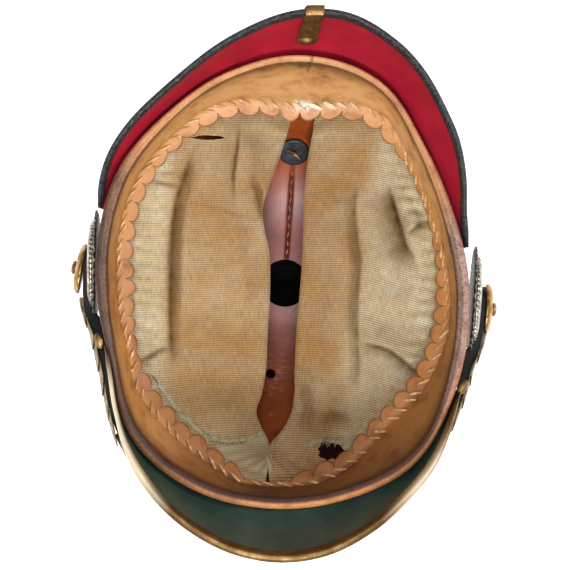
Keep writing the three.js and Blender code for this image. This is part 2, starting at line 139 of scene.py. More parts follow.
# thick saddle leather, black lacquer outside: deep gloss, fine crackle, brown where rubbed
lacquer, add = newMaterial("lacquered saddle leather")
spot = add("TexCoord", {}, "Object")
crackle = add("TexVoronoi", {"Vector": spot, "size": 5, "feature": "DISTANCE_TO_EDGE"}, "Distance")
cracks = add("ValToRGB", {"Fac": crackle, "stops": [(0.0, 0.0), (0.03, 1.0)]})
cloud = add("TexNoise", {"Vector": spot, "size": 22, "Detail": 6, "Roughness": 0.55})
rub = add("ValToRGB", {"Fac": cloud, "stops": [(0.58, 0.0), (0.72, 1.0)]})
tone = add("Mix", {**blend, 0: rub, 6: "#121011", 7: "#241c19"}, 2)
tone = add("Mix", {**blend, 0: cracks, 6: "#0a0808", 7: tone}, 2)
handling = add("TexNoise", {"Vector": spot, "size": 9, "Detail": 5, "Roughness": 0.55})
gloss = add("ValToRGB", {"Fac": handling, "stops": [(0.3, 0.22), (0.75, 0.46)]})
bump = add("Bump", {"Height": cracks, "Distance": 0.05 * mm})
add("OutputMaterial", {"Surface": add("BsdfPrincipled", {
    "Base Color": tone, "Roughness": gloss, "Normal": bump, "IOR": 1.42, "Coat Weight": 0.2,
    "Coat Roughness": 0.12})})

# flesh side of the same leather, oiled and polished by handling: red-brown with a pink sheen
oiledLeather, add = newMaterial("oiled saddle leather")
spot = add("TexCoord", {}, "Object")
along = add("SeparateXYZ", {"Vector": spot}, "Y")
span = add("MapRange", {"Value": along, "From Min": -0.09, "From Max": 0.09})
tone = add("ValToRGB", {"Fac": span, "stops": [
    (0.0, "#9a4c18"), (0.2, "#b85c1f"), (0.34, "#a04c36"), (0.5, "#98463c"), (0.72, "#a2483c"),
    (0.86, "#b8540f"), (1.0, "#be5c14")]})
cloud = add("TexNoise", {"Vector": spot, "size": 14, "Detail": 6, "Roughness": 0.65})
cloud = add("ValToRGB", {"Fac": cloud, "stops": [(0.3, "#b79a94"), (0.7, "#ffffff")]})
tone = add("Mix", {**multiply, 0: 1.0, 6: tone, 7: cloud}, 2)
drawn = add("Mapping", {"Vector": spot, "Scale": (1, 0.45, 1)})
scuff = add("TexNoise", {"Vector": drawn, "size": 5, "Detail": 9, "Roughness": 0.75})
scuff = add("ValToRGB", {"Fac": scuff, "stops": [(0.6, 0.0), (0.72, 0.5)]})
tone = add("Mix", {**blend, 0: scuff, 6: tone, 7: "#c99a94"}, 2)
drawn = add("Mapping", {"Vector": spot, "Scale": (0.5, 1.6, 1), "Rotation": (0, 0, 0.5)})
scratch = add("TexNoise", {"Vector": drawn, "size": 2.4, "Detail": 8, "Roughness": 0.8})
scratch = add("ValToRGB", {"Fac": scratch, "stops": [(0.52, 0.0), (0.6, 1.0)]})
rubbed = add("Attribute", {"attribute_name": "rubbed"}, "Fac")
scratched = add("Mix", {**multiply, 0: 1.0, 6: rubbed, 7: scratch}, 2)
tone = add("Mix", {**blend, 0: scratched, 6: tone, 7: "#b9aca8"}, 2)
# the seam's groove darkened, and painted shade on the shell's inside behind the lining's tear, both read from
# the seam attribute
groove = add("Attribute", {"attribute_name": "seam"}, "Fac")
tone = add("Mix", {**blend, 0: groove, 6: tone, 7: "#24100c"}, 2)
pores = add("TexNoise", {"Vector": spot, "size": 1.1, "Detail": 5, "Roughness": 0.55})
bump = add("Bump", {"Height": pores, "Distance": 0.12 * mm})
add("OutputMaterial", {"Surface": add("BsdfPrincipled", {
    "Base Color": tone, "Roughness": 0.42, "Normal": bump, "IOR": 1.5, "Coat Weight": 0.22,
    "Coat Roughness": 0.26})})

# vegetable-tanned calf, golden at the back, darker at the front; painted shade on the purple-brown rim roll,
# under it and at the tongues' tips
calfLeather, add = newMaterial("vegetable-tanned calf")
spot = add("TexCoord", {}, "Object")
uv = add("TexCoord", {}, "UV")
aroundBand = add("SeparateXYZ", {"Vector": uv}, "X")
downBand = add("SeparateXYZ", {"Vector": uv}, "Y")
wallTone = add("ValToRGB", {"Fac": aroundBand, "stops": [
    (0.0, "#d6a36a"), (0.1, "#eeba7c"), (0.22, "#d6a060"), (0.36, "#b07a42"), (0.44, "#8c5a2e"),
    (0.5, "#5c391a"), (0.56, "#a87342"), (0.6, "#dca264"), (0.66, "#d89c56"), (0.74, "#c08a4a"),
    (0.9, "#d8a66a"), (1.0, "#d6a36a")]})
tongueTone = add("ValToRGB", {"Fac": aroundBand, "stops": [
    (0.0, "#e0ac7e"), (0.12, "#cc9258"), (0.25, "#bc8044"), (0.38, "#bf8450"), (0.5, "#ac7242"),
    (0.62, "#b07848"), (0.76, "#ba8452"), (1.0, "#e0ac7e")]})
# painted shade in the roll's tones: its left side darker, and its inner side at the front
rollOuterWithShade = add("ValToRGB", {"Fac": aroundBand, "stops": [
    (0.0, "#eab07c"), (0.1, "#e2a470"), (0.155, "#dc9e6c"), (0.2, "#c6a292"), (0.29, "#bc9684"),
    (0.34, "#c4885a"), (0.4, "#d88f50"), (0.5, "#e29a58"), (0.58, "#b87a48"), (0.66, "#5c4030"),
    (0.77, "#5e4636"), (0.82, "#94694c"), (0.865, "#e0a06a"), (1.0, "#eab07c")]})
rollInnerWithShade = add("ValToRGB", {"Fac": aroundBand, "stops": [
    (0.0, "#eab07c"), (0.1, "#dfa26e"), (0.155, "#d89c6c"), (0.2, "#ac9484"), (0.3, "#a08272"),
    (0.35, "#7e5a48"), (0.42, "#6a4438"), (0.5, "#573630"), (0.58, "#634238"), (0.66, "#7a5a46"),
    (0.77, "#8e6e58"), (0.82, "#a97e60"), (0.865, "#e4a874"), (1.0, "#eab07c")]})
isInner = add("ValToRGB", {"Fac": downBand, "stops": [(0.13, 0.0), (0.19, 1.0)]})
rollTone = add("Mix", {**blend, 0: isInner, 6: rollOuterWithShade, 7: rollInnerWithShade}, 2)
# patterns that follow the band: times round it and down it, detail, roughness
fibres, wrinkles, breaks, streak = [
    add("TexNoise", {"Vector": add("Mapping", {"Vector": uv, "Scale": times}), "Scale": 1, "Detail": detail,
                     "Roughness": rough})
    for times, detail, rough in (((34, 95, 1), 5, 0.7), ((420, 14, 1), 3, 0.6), ((240, 60, 1), 4, 0.7),
                                 ((46, 26, 1), 6, 0.7))]
rollWear = add("ValToRGB", {"Fac": aroundBand, "stops": [
    (0.0, 0.08), (0.15, 0.15), (0.2, 0.65), (0.32, 0.6), (0.4, 0.25), (0.55, 0.25), (0.64, 0.65),
    (0.81, 0.65), (0.86, 0.25), (1.0, 0.08)]})
fibres = add("ValToRGB", {"Fac": fibres, "stops": [(0.36, "#7e665c"), (0.6, "#ffffff")]})
rollTone = add("Mix", {**multiply, 0: rollWear, 6: rollTone, 7: fibres}, 2)
wrinkles = add("ValToRGB", {"Fac": wrinkles, "stops": [(0.38, "#826658"), (0.55, "#ffffff")]})
rollTone = add("Mix", {**multiply, 0: rollWear, 6: rollTone, 7: wrinkles}, 2)
# painted shade: dark lines at the roll's outer edge and in its fold into the wall, and a thin line along its
# middle
rollEdgeShade = add("ValToRGB", {"Fac": downBand, "stops": [
    (0.0, 0.9), (0.05, 0.0), (0.16, 0.0), (0.185, 0.55), (0.2, 0.55), (0.225, 0.0), (0.265, 0.0),
    (0.295, 1.0), (0.345, 1.0), (0.39, 0.0)]})
rollEdgeShadeDepth = add("ValToRGB", {"Fac": aroundBand, "stops": [
    (0.0, 0.6), (0.12, 0.6), (0.2, 0.9), (0.5, 0.8), (0.8, 0.9), (0.9, 0.6), (1.0, 0.6)]})
rollEdgeShade = add("Mix", {**multiply, 0: 1.0, 6: rollEdgeShade, 7: rollEdgeShadeDepth}, 2)
breaks = add("ValToRGB", {"Fac": breaks, "stops": [(0.38, 0.35), (0.52, 1.0)]})
rollEdgeShade = add("Mix", {**multiply, 0: 1.0, 6: rollEdgeShade, 7: breaks}, 2)
# painted shade on the wall just under the roll
shadeUnderRoll = add("ValToRGB", {"Fac": downBand, "stops": [(0.34, "#a8845e"), (0.47, "#ffffff")]})
tone = add("Mix", {**multiply, 0: 0.8, 6: wallTone, 7: shadeUnderRoll}, 2)
isTongue = add("ValToRGB", {"Fac": downBand, "stops": [(0.69, 0.0), (0.78, 1.0)]})
tone = add("Mix", {**blend, 0: isTongue, 6: tone, 7: tongueTone}, 2)
laceShade = add("ValToRGB", {"Fac": downBand, "stops": [(0.6, 0.0), (0.66, 0.3), (0.7, 0.25), (0.76, 0.0)]})
tone = add("Mix", {**blend, 0: laceShade, 6: tone, 7: "#7a4c22"}, 2)
# painted shade along the tongues' cut tips
tongueTipShade = add("ValToRGB", {"Fac": downBand, "stops": [(0.955, 0.0), (0.985, 0.75)]})
tone = add("Mix", {**blend, 0: tongueTipShade, 6: tone, 7: "#6b3a1e"}, 2)
isWall = add("ValToRGB", {"Fac": downBand, "stops": [(0.3, 0.0), (0.335, 1.0)]})
tone = add("Mix", {**blend, 0: isWall, 6: rollTone, 7: tone}, 2)
tone = add("Mix", {**blend, 0: rollEdgeShade, 6: tone, 7: "#3a2426"}, 2)
blotch = add("TexNoise", {"Vector": spot, "size": 11, "Detail": 7, "Roughness": 0.62})
blotch = add("ValToRGB", {"Fac": blotch, "stops": [(0.28, "#b09078"), (0.5, "#f2ece6"), (0.75, "#ffffff")]})
tone = add("Mix", {**multiply, 0: 0.85, 6: tone, 7: blotch}, 2)
streak = add("ValToRGB", {"Fac": streak, "stops": [(0.54, 0.0), (0.74, 0.4)]})
tone = add("Mix", {**blend, 0: streak, 6: tone, 7: "#6d4320"}, 2)
tatter = add("TexNoise", {"Vector": spot, "size": 1.8, "Detail": 6, "Roughness": 0.75})
tatter = add("ValToRGB", {"Fac": tatter, "stops": [(0.4, "#6a4a34"), (0.48, "#e8dccb"), (0.7, "#f4eee2")]})
worn = add("Attribute", {"attribute_name": "worn"}, "Fac")
tone = add("Mix", {**blend, 0: worn, 6: tone, 7: tatter}, 2)
seam = add("Attribute", {"attribute_name": "seam"}, "Fac")
tone = add("Mix", {**blend, 0: seam, 6: tone, 7: "#2a150b"}, 2)
gloss = add("TexNoise", {"Vector": spot, "size": 8, "Detail": 4, "Roughness": 0.55})
gloss = add("ValToRGB", {"Fac": gloss, "stops": [(0.3, 0.42), (0.7, 0.62)]})
pores = add("TexNoise", {"Vector": spot, "size": 0.9, "Detail": 5, "Roughness": 0.6})
bump = add("Bump", {"Height": pores, "Distance": 0.1 * mm, "Strength": 0.8})
add("OutputMaterial", {"Surface": add("BsdfPrincipled", {
    "Base Color": tone, "Roughness": gloss, "Normal": bump, "IOR": 1.46})})

# thong of paler split calf, dry and rubbed light on its crowns
splitCalf, add = newMaterial("split calf thong")
spot = add("TexCoord", {}, "Object")
cloud = add("TexNoise", {"Vector": spot, "size": 3, "Detail": 4, "Roughness": 0.55})
tone = add("ValToRGB", {"Fac": cloud, "stops": [(0.32, "#a87440"), (0.52, "#c2925a"), (0.7, "#e6c694")]})
pale = add("Attribute", {"attribute_name": "pale"}, "Fac")
tone = add("Mix", {**blend, 0: pale, 6: tone, 7: "#f6e6c8"}, 2)
pores = add("TexNoise", {"Vector": spot, "size": 0.8, "Detail": 3, "Roughness": 0.55})
bump = add("Bump", {"Height": pores, "Distance": 0.08 * mm})
add("OutputMaterial", {"Surface": add("BsdfPrincipled", {
    "Base Color": tone, "Roughness": 0.62, "Normal": bump})})

# rep: ribbed cotton and wool weave, ribs 1.1 mm apart, faded, brown with sweat where the head rubbed
repCloth, add = newMaterial("ribbed rep cloth")
spot = add("TexCoord", {}, "Object")
uv = add("TexCoord", {}, "UV")
# the wave's bands stand 0.314 / scale apart, and the cloth's map has 100 mm to the unit
ribs = add("TexWave", {"Vector": uv, "wave_type": "BANDS", "bands_direction": "Y", "Scale": 0.314 / 0.0111,
                       "Distortion": 0.12, "Detail": 1, "Detail Scale": 3.0}, "Fac")
faded = add("TexNoise", {"Vector": spot, "size": 16, "Detail": 5, "Roughness": 0.6})
faded = add("ValToRGB", {"Fac": faded, "stops": [(0.3, "#c9b992"), (0.55, "#d8c9a8"), (0.72, "#e2d8c0")]})
brown = add("TexNoise", {"Vector": spot, "size": 26, "Detail": 3, "Roughness": 0.5})
brown = add("ValToRGB", {"Fac": brown, "stops": [(0.28, "#a88250"), (0.5, "#b89262"), (0.74, "#c6a474")]})
soil = add("Attribute", {"attribute_name": "soil"}, "Fac")
tone = add("Mix", {**blend, 0: soil, 6: faded, 7: brown}, 2)
drawn = add("Mapping", {"Vector": uv, "Scale": (2.2, 0.25, 1)})
slub = add("TexNoise", {"Vector": drawn, "size": 12, "Detail": 4, "Roughness": 0.7})
slub = add("ValToRGB", {"Fac": slub, "stops": [(0.35, "#b79a70"), (0.6, "#ffffff")]})
tone = add("Mix", {**multiply, 0: 0.5, 6: tone, 7: slub}, 2)
ribTone = add("ValToRGB", {"Fac": ribs, "stops": [(0.12, "#5c4a2e"), (0.62, "#ffffff")]})
tone = add("Mix", {**multiply, 0: 0.48, 6: tone, 7: ribTone}, 2)
mottle = add("TexNoise", {"Vector": spot, "size": 4.5, "Detail": 6, "Roughness": 0.7})
mottle = add("ValToRGB", {"Fac": mottle, "stops": [(0.34, "#b48f60"), (0.58, "#ffffff")]})
tone = add("Mix", {**multiply, 0: 0.2, 6: tone, 7: mottle}, 2)
frayed = add("Attribute", {"attribute_name": "fray"}, "Fac")
tone = add("Mix", {**blend, 0: frayed, 6: tone, 7: "#b9bda4"}, 2)
# painted shade along the folds and creases, and a painted shadow under the frayed edge
stain = add("Attribute", {"attribute_name": "stain"}, "Fac")
tone = add("Mix", {**blend, 0: stain, 6: tone, 7: "#573a10"}, 2)
bump = add("Bump", {"Height": ribs, "Distance": 0.16 * mm, "Strength": 0.8})
add("OutputMaterial", {"Surface": add("BsdfPrincipled", {
    "Base Color": tone, "Roughness": 0.95, "Normal": bump, "Specular IOR Level": 0.08})})


# a finish of one cloud of tones over a fine grain: the cloud's size in mm, its detail and roughness, its
# tones, then the grain's size and depth in mm and its detail
def cloudedFinish(name, surface, cloud, stops, grit=None):
    material, add = newMaterial(name)
    spot = add("TexCoord", {}, "Object")
    tone = add("TexNoise", {"Vector": spot, "size": cloud[0], "Detail": cloud[1], "Roughness": cloud[2]})
    tone = add("ValToRGB", {"Fac": tone, "stops": stops})
    surface = {**surface, "Base Color": tone}
    if grit:
        height = add("TexNoise", {"Vector": spot, "size": grit[0], "Detail": grit[2], "Roughness": 0.55})
        surface["Normal"] = add("Bump", {"Height": height, "Distance": grit[1] * mm})
    add("OutputMaterial", {"Surface": add("BsdfPrincipled", surface)})
    return material


# waxed linen thread, thick and browned
linenThread = cloudedFinish("waxed linen thread", {"Roughness": 0.7}, (1.2, 3, 0.55),
                            [(0.3, "#6f4a34"), (0.7, "#b58a68")])
# loose threads of the rep, greyed green-blue where they never met the head
looseThread = cloudedFinish("frayed rep threads", {"Roughness": 0.9}, (4, 3, 0.55),
                            [(0.35, "#8f8258"), (0.5, "#b2b498"), (0.7, "#c6cfc8")])
# red lacquered leather under the neck guard: even, matt, faint grain
redLeather = cloudedFinish("red lacquered leather", {"Roughness": 0.62, "IOR": 1.35}, (18, 5, 0.55),
                           [(0.3, "#960e24"), (0.6, "#aa162c"), (0.8, "#b61e34")], (0.7, 0.06, 4))
# black strap leather: dull, dark grey on its creases
strapLeather = cloudedFinish("black strap leather", {"Roughness": 0.55, "Specular IOR Level": 0.25},
                             (4, 7, 0.7), [(0.4, "#090809"), (0.7, "#1a1818")], (1.0, 0.12, 5))
# iron washer, black japanned, grey where it has rubbed
japanned = cloudedFinish("japanned iron", {"Roughness": 0.42, "Metallic": 0.25}, (3, 7, 0.7),
                         [(0.4, "#2a2b2f"), (0.62, "#45484e"), (0.78, "#70747a")], (1.2, 0.08, 5))
# near-black inside of the neck, and on the plate's face against the shell: painted shade
ventShade = cloudedFinish("brass with painted shade", {"Roughness": 0.85, "IOR": 1.2}, (3, 4, 0.55),
                          [(0.3, "#060505"), (0.7, "#100d0a")])

# green lacquered leather under the front peak: satin, dusty, a few pale specks
greenLeather, add = newMaterial("green lacquered leather")
spot = add("TexCoord", {}, "Object")
cloud = add("TexNoise", {"Vector": spot, "size": 20, "Detail": 6, "Roughness": 0.55})
tone = add("ValToRGB", {"Fac": cloud, "stops": [(0.3, "#30433a"), (0.55, "#3e5046"), (0.75, "#4a5c50")]})
specks = add("TexNoise", {"Vector": spot, "size": 1.5, "Detail": 2, "Roughness": 0.4})
specks = add("ValToRGB", {"Fac": specks, "stops": [(0.77, 0.0), (0.8, 1.0)]})
tone = add("Mix", {**blend, 0: specks, 6: tone, 7: "#8a8f78"}, 2)
pores = add("TexNoise", {"Vector": spot, "size": 0.8, "Detail": 4, "Roughness": 0.55})
bump = add("Bump", {"Height": pores, "Distance": 0.08 * mm})
add("OutputMaterial", {"Surface": add("BsdfPrincipled", {
    "Base Color": tone, "Roughness": 0.42, "Normal": bump, "IOR": 1.47})})

# black leather binding, its lacquer rubbed through to grey along the edge
boundLeather, add = newMaterial("scuffed black binding leather")
spot = add("TexCoord", {}, "Object")
scuffs = add("TexNoise", {"Vector": spot, "size": 1.6, "Detail": 9, "Roughness": 0.8})
scuffs = add("ValToRGB", {"Fac": scuffs, "stops": [(0.46, 0.0), (0.62, 1.0)]})
tone = add("Mix", {**blend, 0: scuffs, 6: "#100f11", 7: "#4c4a4f"}, 2)
flakes = add("TexNoise", {"Vector": spot, "size": 1.1, "Detail": 4, "Roughness": 0.7})
flakes = add("ValToRGB", {"Fac": flakes, "stops": [(0.66, 0.0), (0.72, 1.0)]})
tone = add("Mix", {**blend, 0: flakes, 6: tone, 7: "#bdbab6"}, 2)
pores = add("TexNoise", {"Vector": spot, "size": 1.4, "Detail": 6, "Roughness": 0.7})
bump = add("Bump", {"Height": pores, "Distance": 0.18 * mm})
add("OutputMaterial", {"Surface": add("BsdfPrincipled", {
    "Base Color": tone, "Roughness": 0.5, "Normal": bump, "Specular IOR Level": 0.35})})

# rolled brass of the trim: brown under a dull skin, with a cream painted highlight towards its left and right
# ends
rolledBrass, add = newMaterial("rolled brass")
spot = add("TexCoord", {}, "Object")
cloud = add("TexNoise", {"Vector": spot, "size": 9, "Detail": 7, "Roughness": 0.62})
tone = add("ValToRGB", {"Fac": cloud, "stops": [(0.28, "#5a4428"), (0.5, "#765a36"), (0.72, "#9a7e56")]})
across = add("SeparateXYZ", {"Vector": spot}, "X")
span = add("MapRange", {"Value": across, "From Min": -0.1, "From Max": 0.1})
# painted highlight: cream and less metallic towards the trim's left and right ends
hand = add("ValToRGB", {"Fac": span, "stops": [
    (0.082, 0.0), (0.105, 1.0), (0.2, 0.7), (0.28, 0.0), (0.78, 0.0), (0.86, 0.6), (0.9, 0.4), (0.93, 0.0)]})
tone = add("Mix", {**blend, 0: hand, 6: tone, 7: "#f6e4c4"}, 2)
bare = add("ValToRGB", {"Fac": hand, "stops": [(0.0, 1.0), (1.0, 0.35)]})
gloss = add("ValToRGB", {"Fac": cloud, "stops": [(0.3, 0.55), (0.7, 0.42)]})
marks = add("TexNoise", {"Vector": spot, "size": 1.6, "Detail": 5, "Roughness": 0.55})
bump = add("Bump", {"Height": marks, "Distance": 0.03 * mm})
add("OutputMaterial", {"Surface": add("BsdfPrincipled", {
    "Base Color": tone, "Metallic": bare, "Roughness": gloss, "Normal": bump})})


def brassMaterial(name, dark, middle, bright, rough, patch):
    material, add = newMaterial(name)
    spot = add("TexCoord", {}, "Object")
    cloud = add("TexNoise", {"Vector": spot, "size": patch, "Detail": 7, "Roughness": 0.62})
    tone = add("ValToRGB", {"Fac": cloud, "stops": [(0.28, dark), (0.5, middle), (0.72, bright)]})
    gloss = add("ValToRGB", {"Fac": cloud, "stops": [(0.3, rough + 0.16), (0.7, rough)]})
    marks = add("TexNoise", {"Vector": spot, "size": 1.6, "Detail": 5, "Roughness": 0.55})
    bump = add("Bump", {"Height": marks, "Distance": 0.03 * mm})
    add("OutputMaterial", {"Surface": add("BsdfPrincipled", {
        "Base Color": tone, "Metallic": 1.0, "Roughness": gloss, "Normal": bump})})
    return material


# cast brass, polished by handling
castBrass = brassMaterial("polished cast brass", "#725430", "#a6804e", "#ceae7a", 0.36, 8)
# brass left to tarnish: olive brown, bright only where it is handled
darkBrass = brassMaterial("tarnished brass", "#5c4529", "#8a6a3f", "#b4946a", 0.44, 4)
# brass scales, blackened between their bright edges
scaleBrass = brassMaterial("blackened scale brass", "#3a2c1a", "#6a5532", "#a98c5c", 0.36, 5)
# silver wash over brass, worn grey in the hollows
silverWash = brassMaterial("silver washed brass", "#544a40", "#a89e92", "#e6ded2", 0.26, 3)
# tinned sheet with dulled paint in the flutes
dulledTin = brassMaterial("dulled tinned sheet", "#2e2822", "#655a4e", "#aaa090", 0.38, 2.2)


# modelling helpers

def deselect():
    if bpy.context.object and bpy.context.object.mode != "OBJECT":
        bpy.ops.object.mode_set(mode="OBJECT")
    bpy.ops.object.select_all(action="DESELECT")


def pick(piece):
    deselect()
    piece.select_set(True)
    bpy.context.view_layer.objects.active = piece


def weld(piece, fill=False):
    pick(piece)
    bpy.ops.object.mode_set(mode="EDIT")
    bpy.ops.mesh.select_all(action="SELECT")
    bpy.ops.mesh.remove_doubles(threshold=1e-6)
    if fill:
        bpy.ops.mesh.fill_holes(sides=0)
    bpy.ops.mesh.select_all(action="SELECT")
    bpy.ops.mesh.normals_make_consistent(inside=False)
    bpy.ops.object.mode_set(mode="OBJECT")


# a grid primitive whose points take their places from rows of points; loop closes each row on itself,
# ring joins the last row to the first
def gridPiece(name, rows, loop=False, ring=False):
    rows = [list(row) + ([row[0]] if loop else []) for row in rows]
    rows = rows + ([rows[0]] if ring else [])
    along, across = len(rows) - 1, len(rows[0]) - 1
    deselect()
    bpy.ops.mesh.primitive_grid_add(x_subdivisions=across, y_subdivisions=along, size=1)
    piece = bpy.context.object
    piece.name = name
    for vertex in piece.data.vertices:
        i = round((vertex.co.y + 0.5) * along)
        j = round((vertex.co.x + 0.5) * across)
        vertex.co = rows[i][j]
    return piece


def faceTowards(piece, point):
    piece.data.update()
    facing = sum((point - face.center).dot(face.normal) * face.area for face in piece.data.polygons)
    if facing < 0:
        pick(piece)
        bpy.ops.object.mode_set(mode="EDIT")
        bpy.ops.mesh.select_all(action="SELECT")
        bpy.ops.mesh.flip_normals()
        bpy.ops.object.mode_set(mode="OBJECT")


def applyModifier(piece, kind, **settings):
    pick(piece)
    modifier = piece.modifiers.new(kind.lower(), kind)
    for key, value in settings.items():
        setattr(modifier, key, value)
    bpy.ops.object.modifier_apply(modifier=modifier.name)


def cutAway(piece, tool):
    applyModifier(piece, "BOOLEAN", operation="DIFFERENCE", object=tool, solver="EXACT")
    bpy.data.objects.remove(tool)


def copied(piece):
    copy = piece.copy()
    copy.data = piece.data.copy()
    bpy.context.collection.objects.link(copy)
    return copy


def joined(name, pieces):
    deselect()
    for piece in pieces:
        piece.select_set(True)
    bpy.context.view_layer.objects.active = pieces[0]
    bpy.ops.object.join()
    pieces[0].name = name
    return pieces[0]


def smooth(piece, angle=40):
    pick(piece)
    bpy.ops.object.shade_smooth_by_angle(angle=math.radians(angle))


def stands(piece, nodes):
    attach(piece, body)
    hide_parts(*nodes)


def finished(piece, material, angle, nodes):
    piece.data.materials.append(material)
    smooth(piece, angle)
    stands(piece, nodes)


def attribute(piece, name, values):
    data = piece.data.attributes.new(name, "FLOAT", "POINT").data
    for item, value in zip(data, values):
        item.value = value


def turned(name, profile, segments, frameAt, wave=None):
    rows = []
    for i in range(segments):
        turn = 2 * math.pi * i / segments
        row = []
        for radius, height in profile:
            if wave:
                radius, height = wave(turn, radius, height)
            row.append(frameAt @ (Vector((radius * math.cos(turn), radius * math.sin(turn), height)) * mm))
        rows.append(row)
    piece = gridPiece(name, rows, ring=True)
    weld(piece)
    return piece


def lerp(a, b, share):
    return a + (b - a) * share


def ease(value, low, high):
    share = min(max((value - low) / (high - low), 0), 1)
    return share * share * (3 - 2 * share)


def curveThrough(points):
    keys = [point[0] for point in points]
    values = [point[1] for point in points]
    slopes = [(values[i + 1] - values[i]) / (keys[i + 1] - keys[i]) for i in range(len(keys) - 1)]

    def read(place):
        i = min(max(bisect.bisect_right(keys, place) - 1, 0), len(slopes) - 1)
        step = keys[i + 1] - keys[i]
        p = (place - keys[i]) / step
        before = (slopes[max(i - 1, 0)] + slopes[i]) / 2 * step
        after = (slopes[i] + slopes[min(i + 1, len(slopes) - 1)]) / 2 * step
        return ((2 * p ** 3 - 3 * p ** 2 + 1) * values[i] + (p ** 3 - 2 * p ** 2 + p) * before
                + (3 * p ** 2 - 2 * p ** 3) * values[i + 1] + (p ** 3 - p ** 2) * after)

    return read


# outline of the helmet as it lies, in mm: bearing from the back, the shell's cut edge, the tongues' tips
outline = [
    (0, 111.5, 81.5), (20, 109.0, 88.6), (40, 95.9, 85.0), (60, 89.4, 78.5), (80, 89.3, 75.7),
    (100, 92.7, 76.5), (120, 99.5, 78.5), (140, 108.8, 80.5), (160, 109.9, 91.0), (180, 110.4, 96.0),
    (200, 110.4, 89.0), (220, 106.3, 84.5), (240, 93.8, 81.0), (260, 92.0, 75.5), (280, 94.1, 78.0),
    (300, 98.5, 83.5), (320, 101.0, 87.0), (340, 106.8, 86.5),
]
laps = [(row[0] + lap, row[1], row[2]) for lap in (-360, 0, 360) for row in outline]
rimCurve = curveThrough([(row[0], row[1]) for row in laps])
tipCurve = curveThrough([(row[0], row[2]) for row in laps])
rimHeight = 142.0
crown = {"height": 118.0, "power": 2.3, "wall": 3.0, "vent": 12.6}


def rimRadius(bearing):
    return rimCurve(bearing % 360)


def tipRadius(bearing):
    return tipCurve(bearing % 360)


def at(bearing, radius, height):
    turn = math.radians(bearing)
    return Vector((radius * math.sin(turn), radius * math.cos(turn), height)) * mm


def crownPoint(bearing, slope, wall):
    turn = math.radians(slope)
    radius = (rimRadius(bearing) - wall) * math.cos(turn) ** (2 / crown["power"])
    return radius, rimHeight - (crown["height"] - wall) * math.sin(turn) ** (2 / crown["power"])


def crownLevel(bearing, radius, wall):
    share = radius / (rimRadius(bearing) - wall)
    return rimHeight - (crown["height"] - wall) * (1 - share ** crown["power"]) ** (1 / crown["power"])


def crownInside(bearing, depth):
    share = depth / (crown["height"] - crown["wall"])
    return (rimRadius(bearing) - crown["wall"]) * (1 - share ** crown["power"]) ** (1 / crown["power"])


# the axes of a piece that stands on the crown's inside
def seatInside(bearing, fromAxis, heading):
    def point(turn, radius):
        return at(bearing + turn, radius, crownLevel(bearing + turn, radius, crown["wall"]))

    foot = point(0, fromAxis)
    up = (point(0.5, fromAxis) - foot).cross(point(0, fromAxis + 0.5) - foot).normalized()
    ahead = Vector((math.cos(heading), math.sin(heading), 0))
    ahead = (ahead - up * ahead.dot(up)).normalized()
    seat = Matrix((ahead, up.cross(ahead), up)).transposed().to_4x4()
    seat.translation = foot
    return seat


# shell with its rear seam

print("stage: shell")
shellForm = {"studRadius": 2.65, "studFromAxis": 48.7, "studBearing": 184.0, "pinRadius": 1.7,
             "pinFromAxis": 70.0, "pinBearing": -1.2, "seamBearing": -1.3, "seamFrom": 14.0, "seamTo": 60.0,
             "seamWidth": 1.0, "seamDepth": 0.9, "stitchPitch": 4.6, "stitchLength": 3.4, "rubbed": 8.0,
             "shade": (32, -85), "shadeReach": 11}
bearings = [5 + 349 * i / 180 for i in range(180)] + [354 + 11 * i / 44 for i in range(44)]
flatRadii = [crown["vent"], 14.5, 17, 20, 23.5]
slopes = [75, 71, 67, 63, 59, 55, 51, 47, 43, 39, 35, 31, 27, 23, 19, 15, 11, 7, 3.5, 0]


def seamAt(bearing, radius):
    across = radius * math.sin(math.radians(bearing - shellForm["seamBearing"]))
    if math.cos(math.radians(bearing)) < 0:
        return 0
    ends = ease(radius, shellForm["seamFrom"] - 2, shellForm["seamFrom"]) * (
        1 - ease(radius, shellForm["seamTo"], shellForm["seamTo"] + 2))
    return math.exp(-(across / shellForm["seamWidth"]) ** 2) * ends


rows = []
for bearing in bearings:
    section = [(r, crownLevel(bearing, r, 0)) for r in flatRadii]
    section += [crownPoint(bearing, slope, 0) for slope in slopes]
    section += [crownPoint(bearing, slope, crown["wall"]) for slope in reversed(slopes)]
    section += [(r, crownLevel(bearing, r, crown["wall"])) for r in reversed(flatRadii)]
    inner = len(section) // 2
    row = []
    for i, (radius, height) in enumerate(section):
        groove = seamAt(bearing, radius) if i >= inner else 0
        row.append(at(bearing, radius, height - shellForm["seamDepth"] * groove))
    rows.append(row)
shell = gridPiece("shell_leather", rows, loop=True, ring=True)
weld(shell)
values = []
for vertex in shell.data.vertices:
    x, y, z = (c / mm for c in vertex.co)
    bearing = math.degrees(math.atan2(x, y))
    radius = math.hypot(x, y)
    top = crownLevel(bearing, min(radius, 80), crown["wall"] / 2)
    # painted shade on the shell's inside behind the tear in the lining, kept in the seam attribute
    toShade = math.dist((x, y), shellForm["shade"])
    shadeBehindTear = math.exp(-(toShade / shellForm["shadeReach"]) ** 4)
    values.append(max(seamAt(bearing, radius) if z > top and radius < 80 else 0, shadeBehindTear))
attribute(shell, "seam", values)
stud = seatInside(shellForm["studBearing"], shellForm["studFromAxis"], 0).translation
attribute(shell, "rubbed", [math.exp(-((vertex.co - stud).length / (shellForm["rubbed"] * mm)) ** 2)
                            for vertex in shell.data.vertices])
shell.data.materials.append(lacquer)
shell.data.materials.append(oiledLeather)
shell.data.materials.append(linenThread)
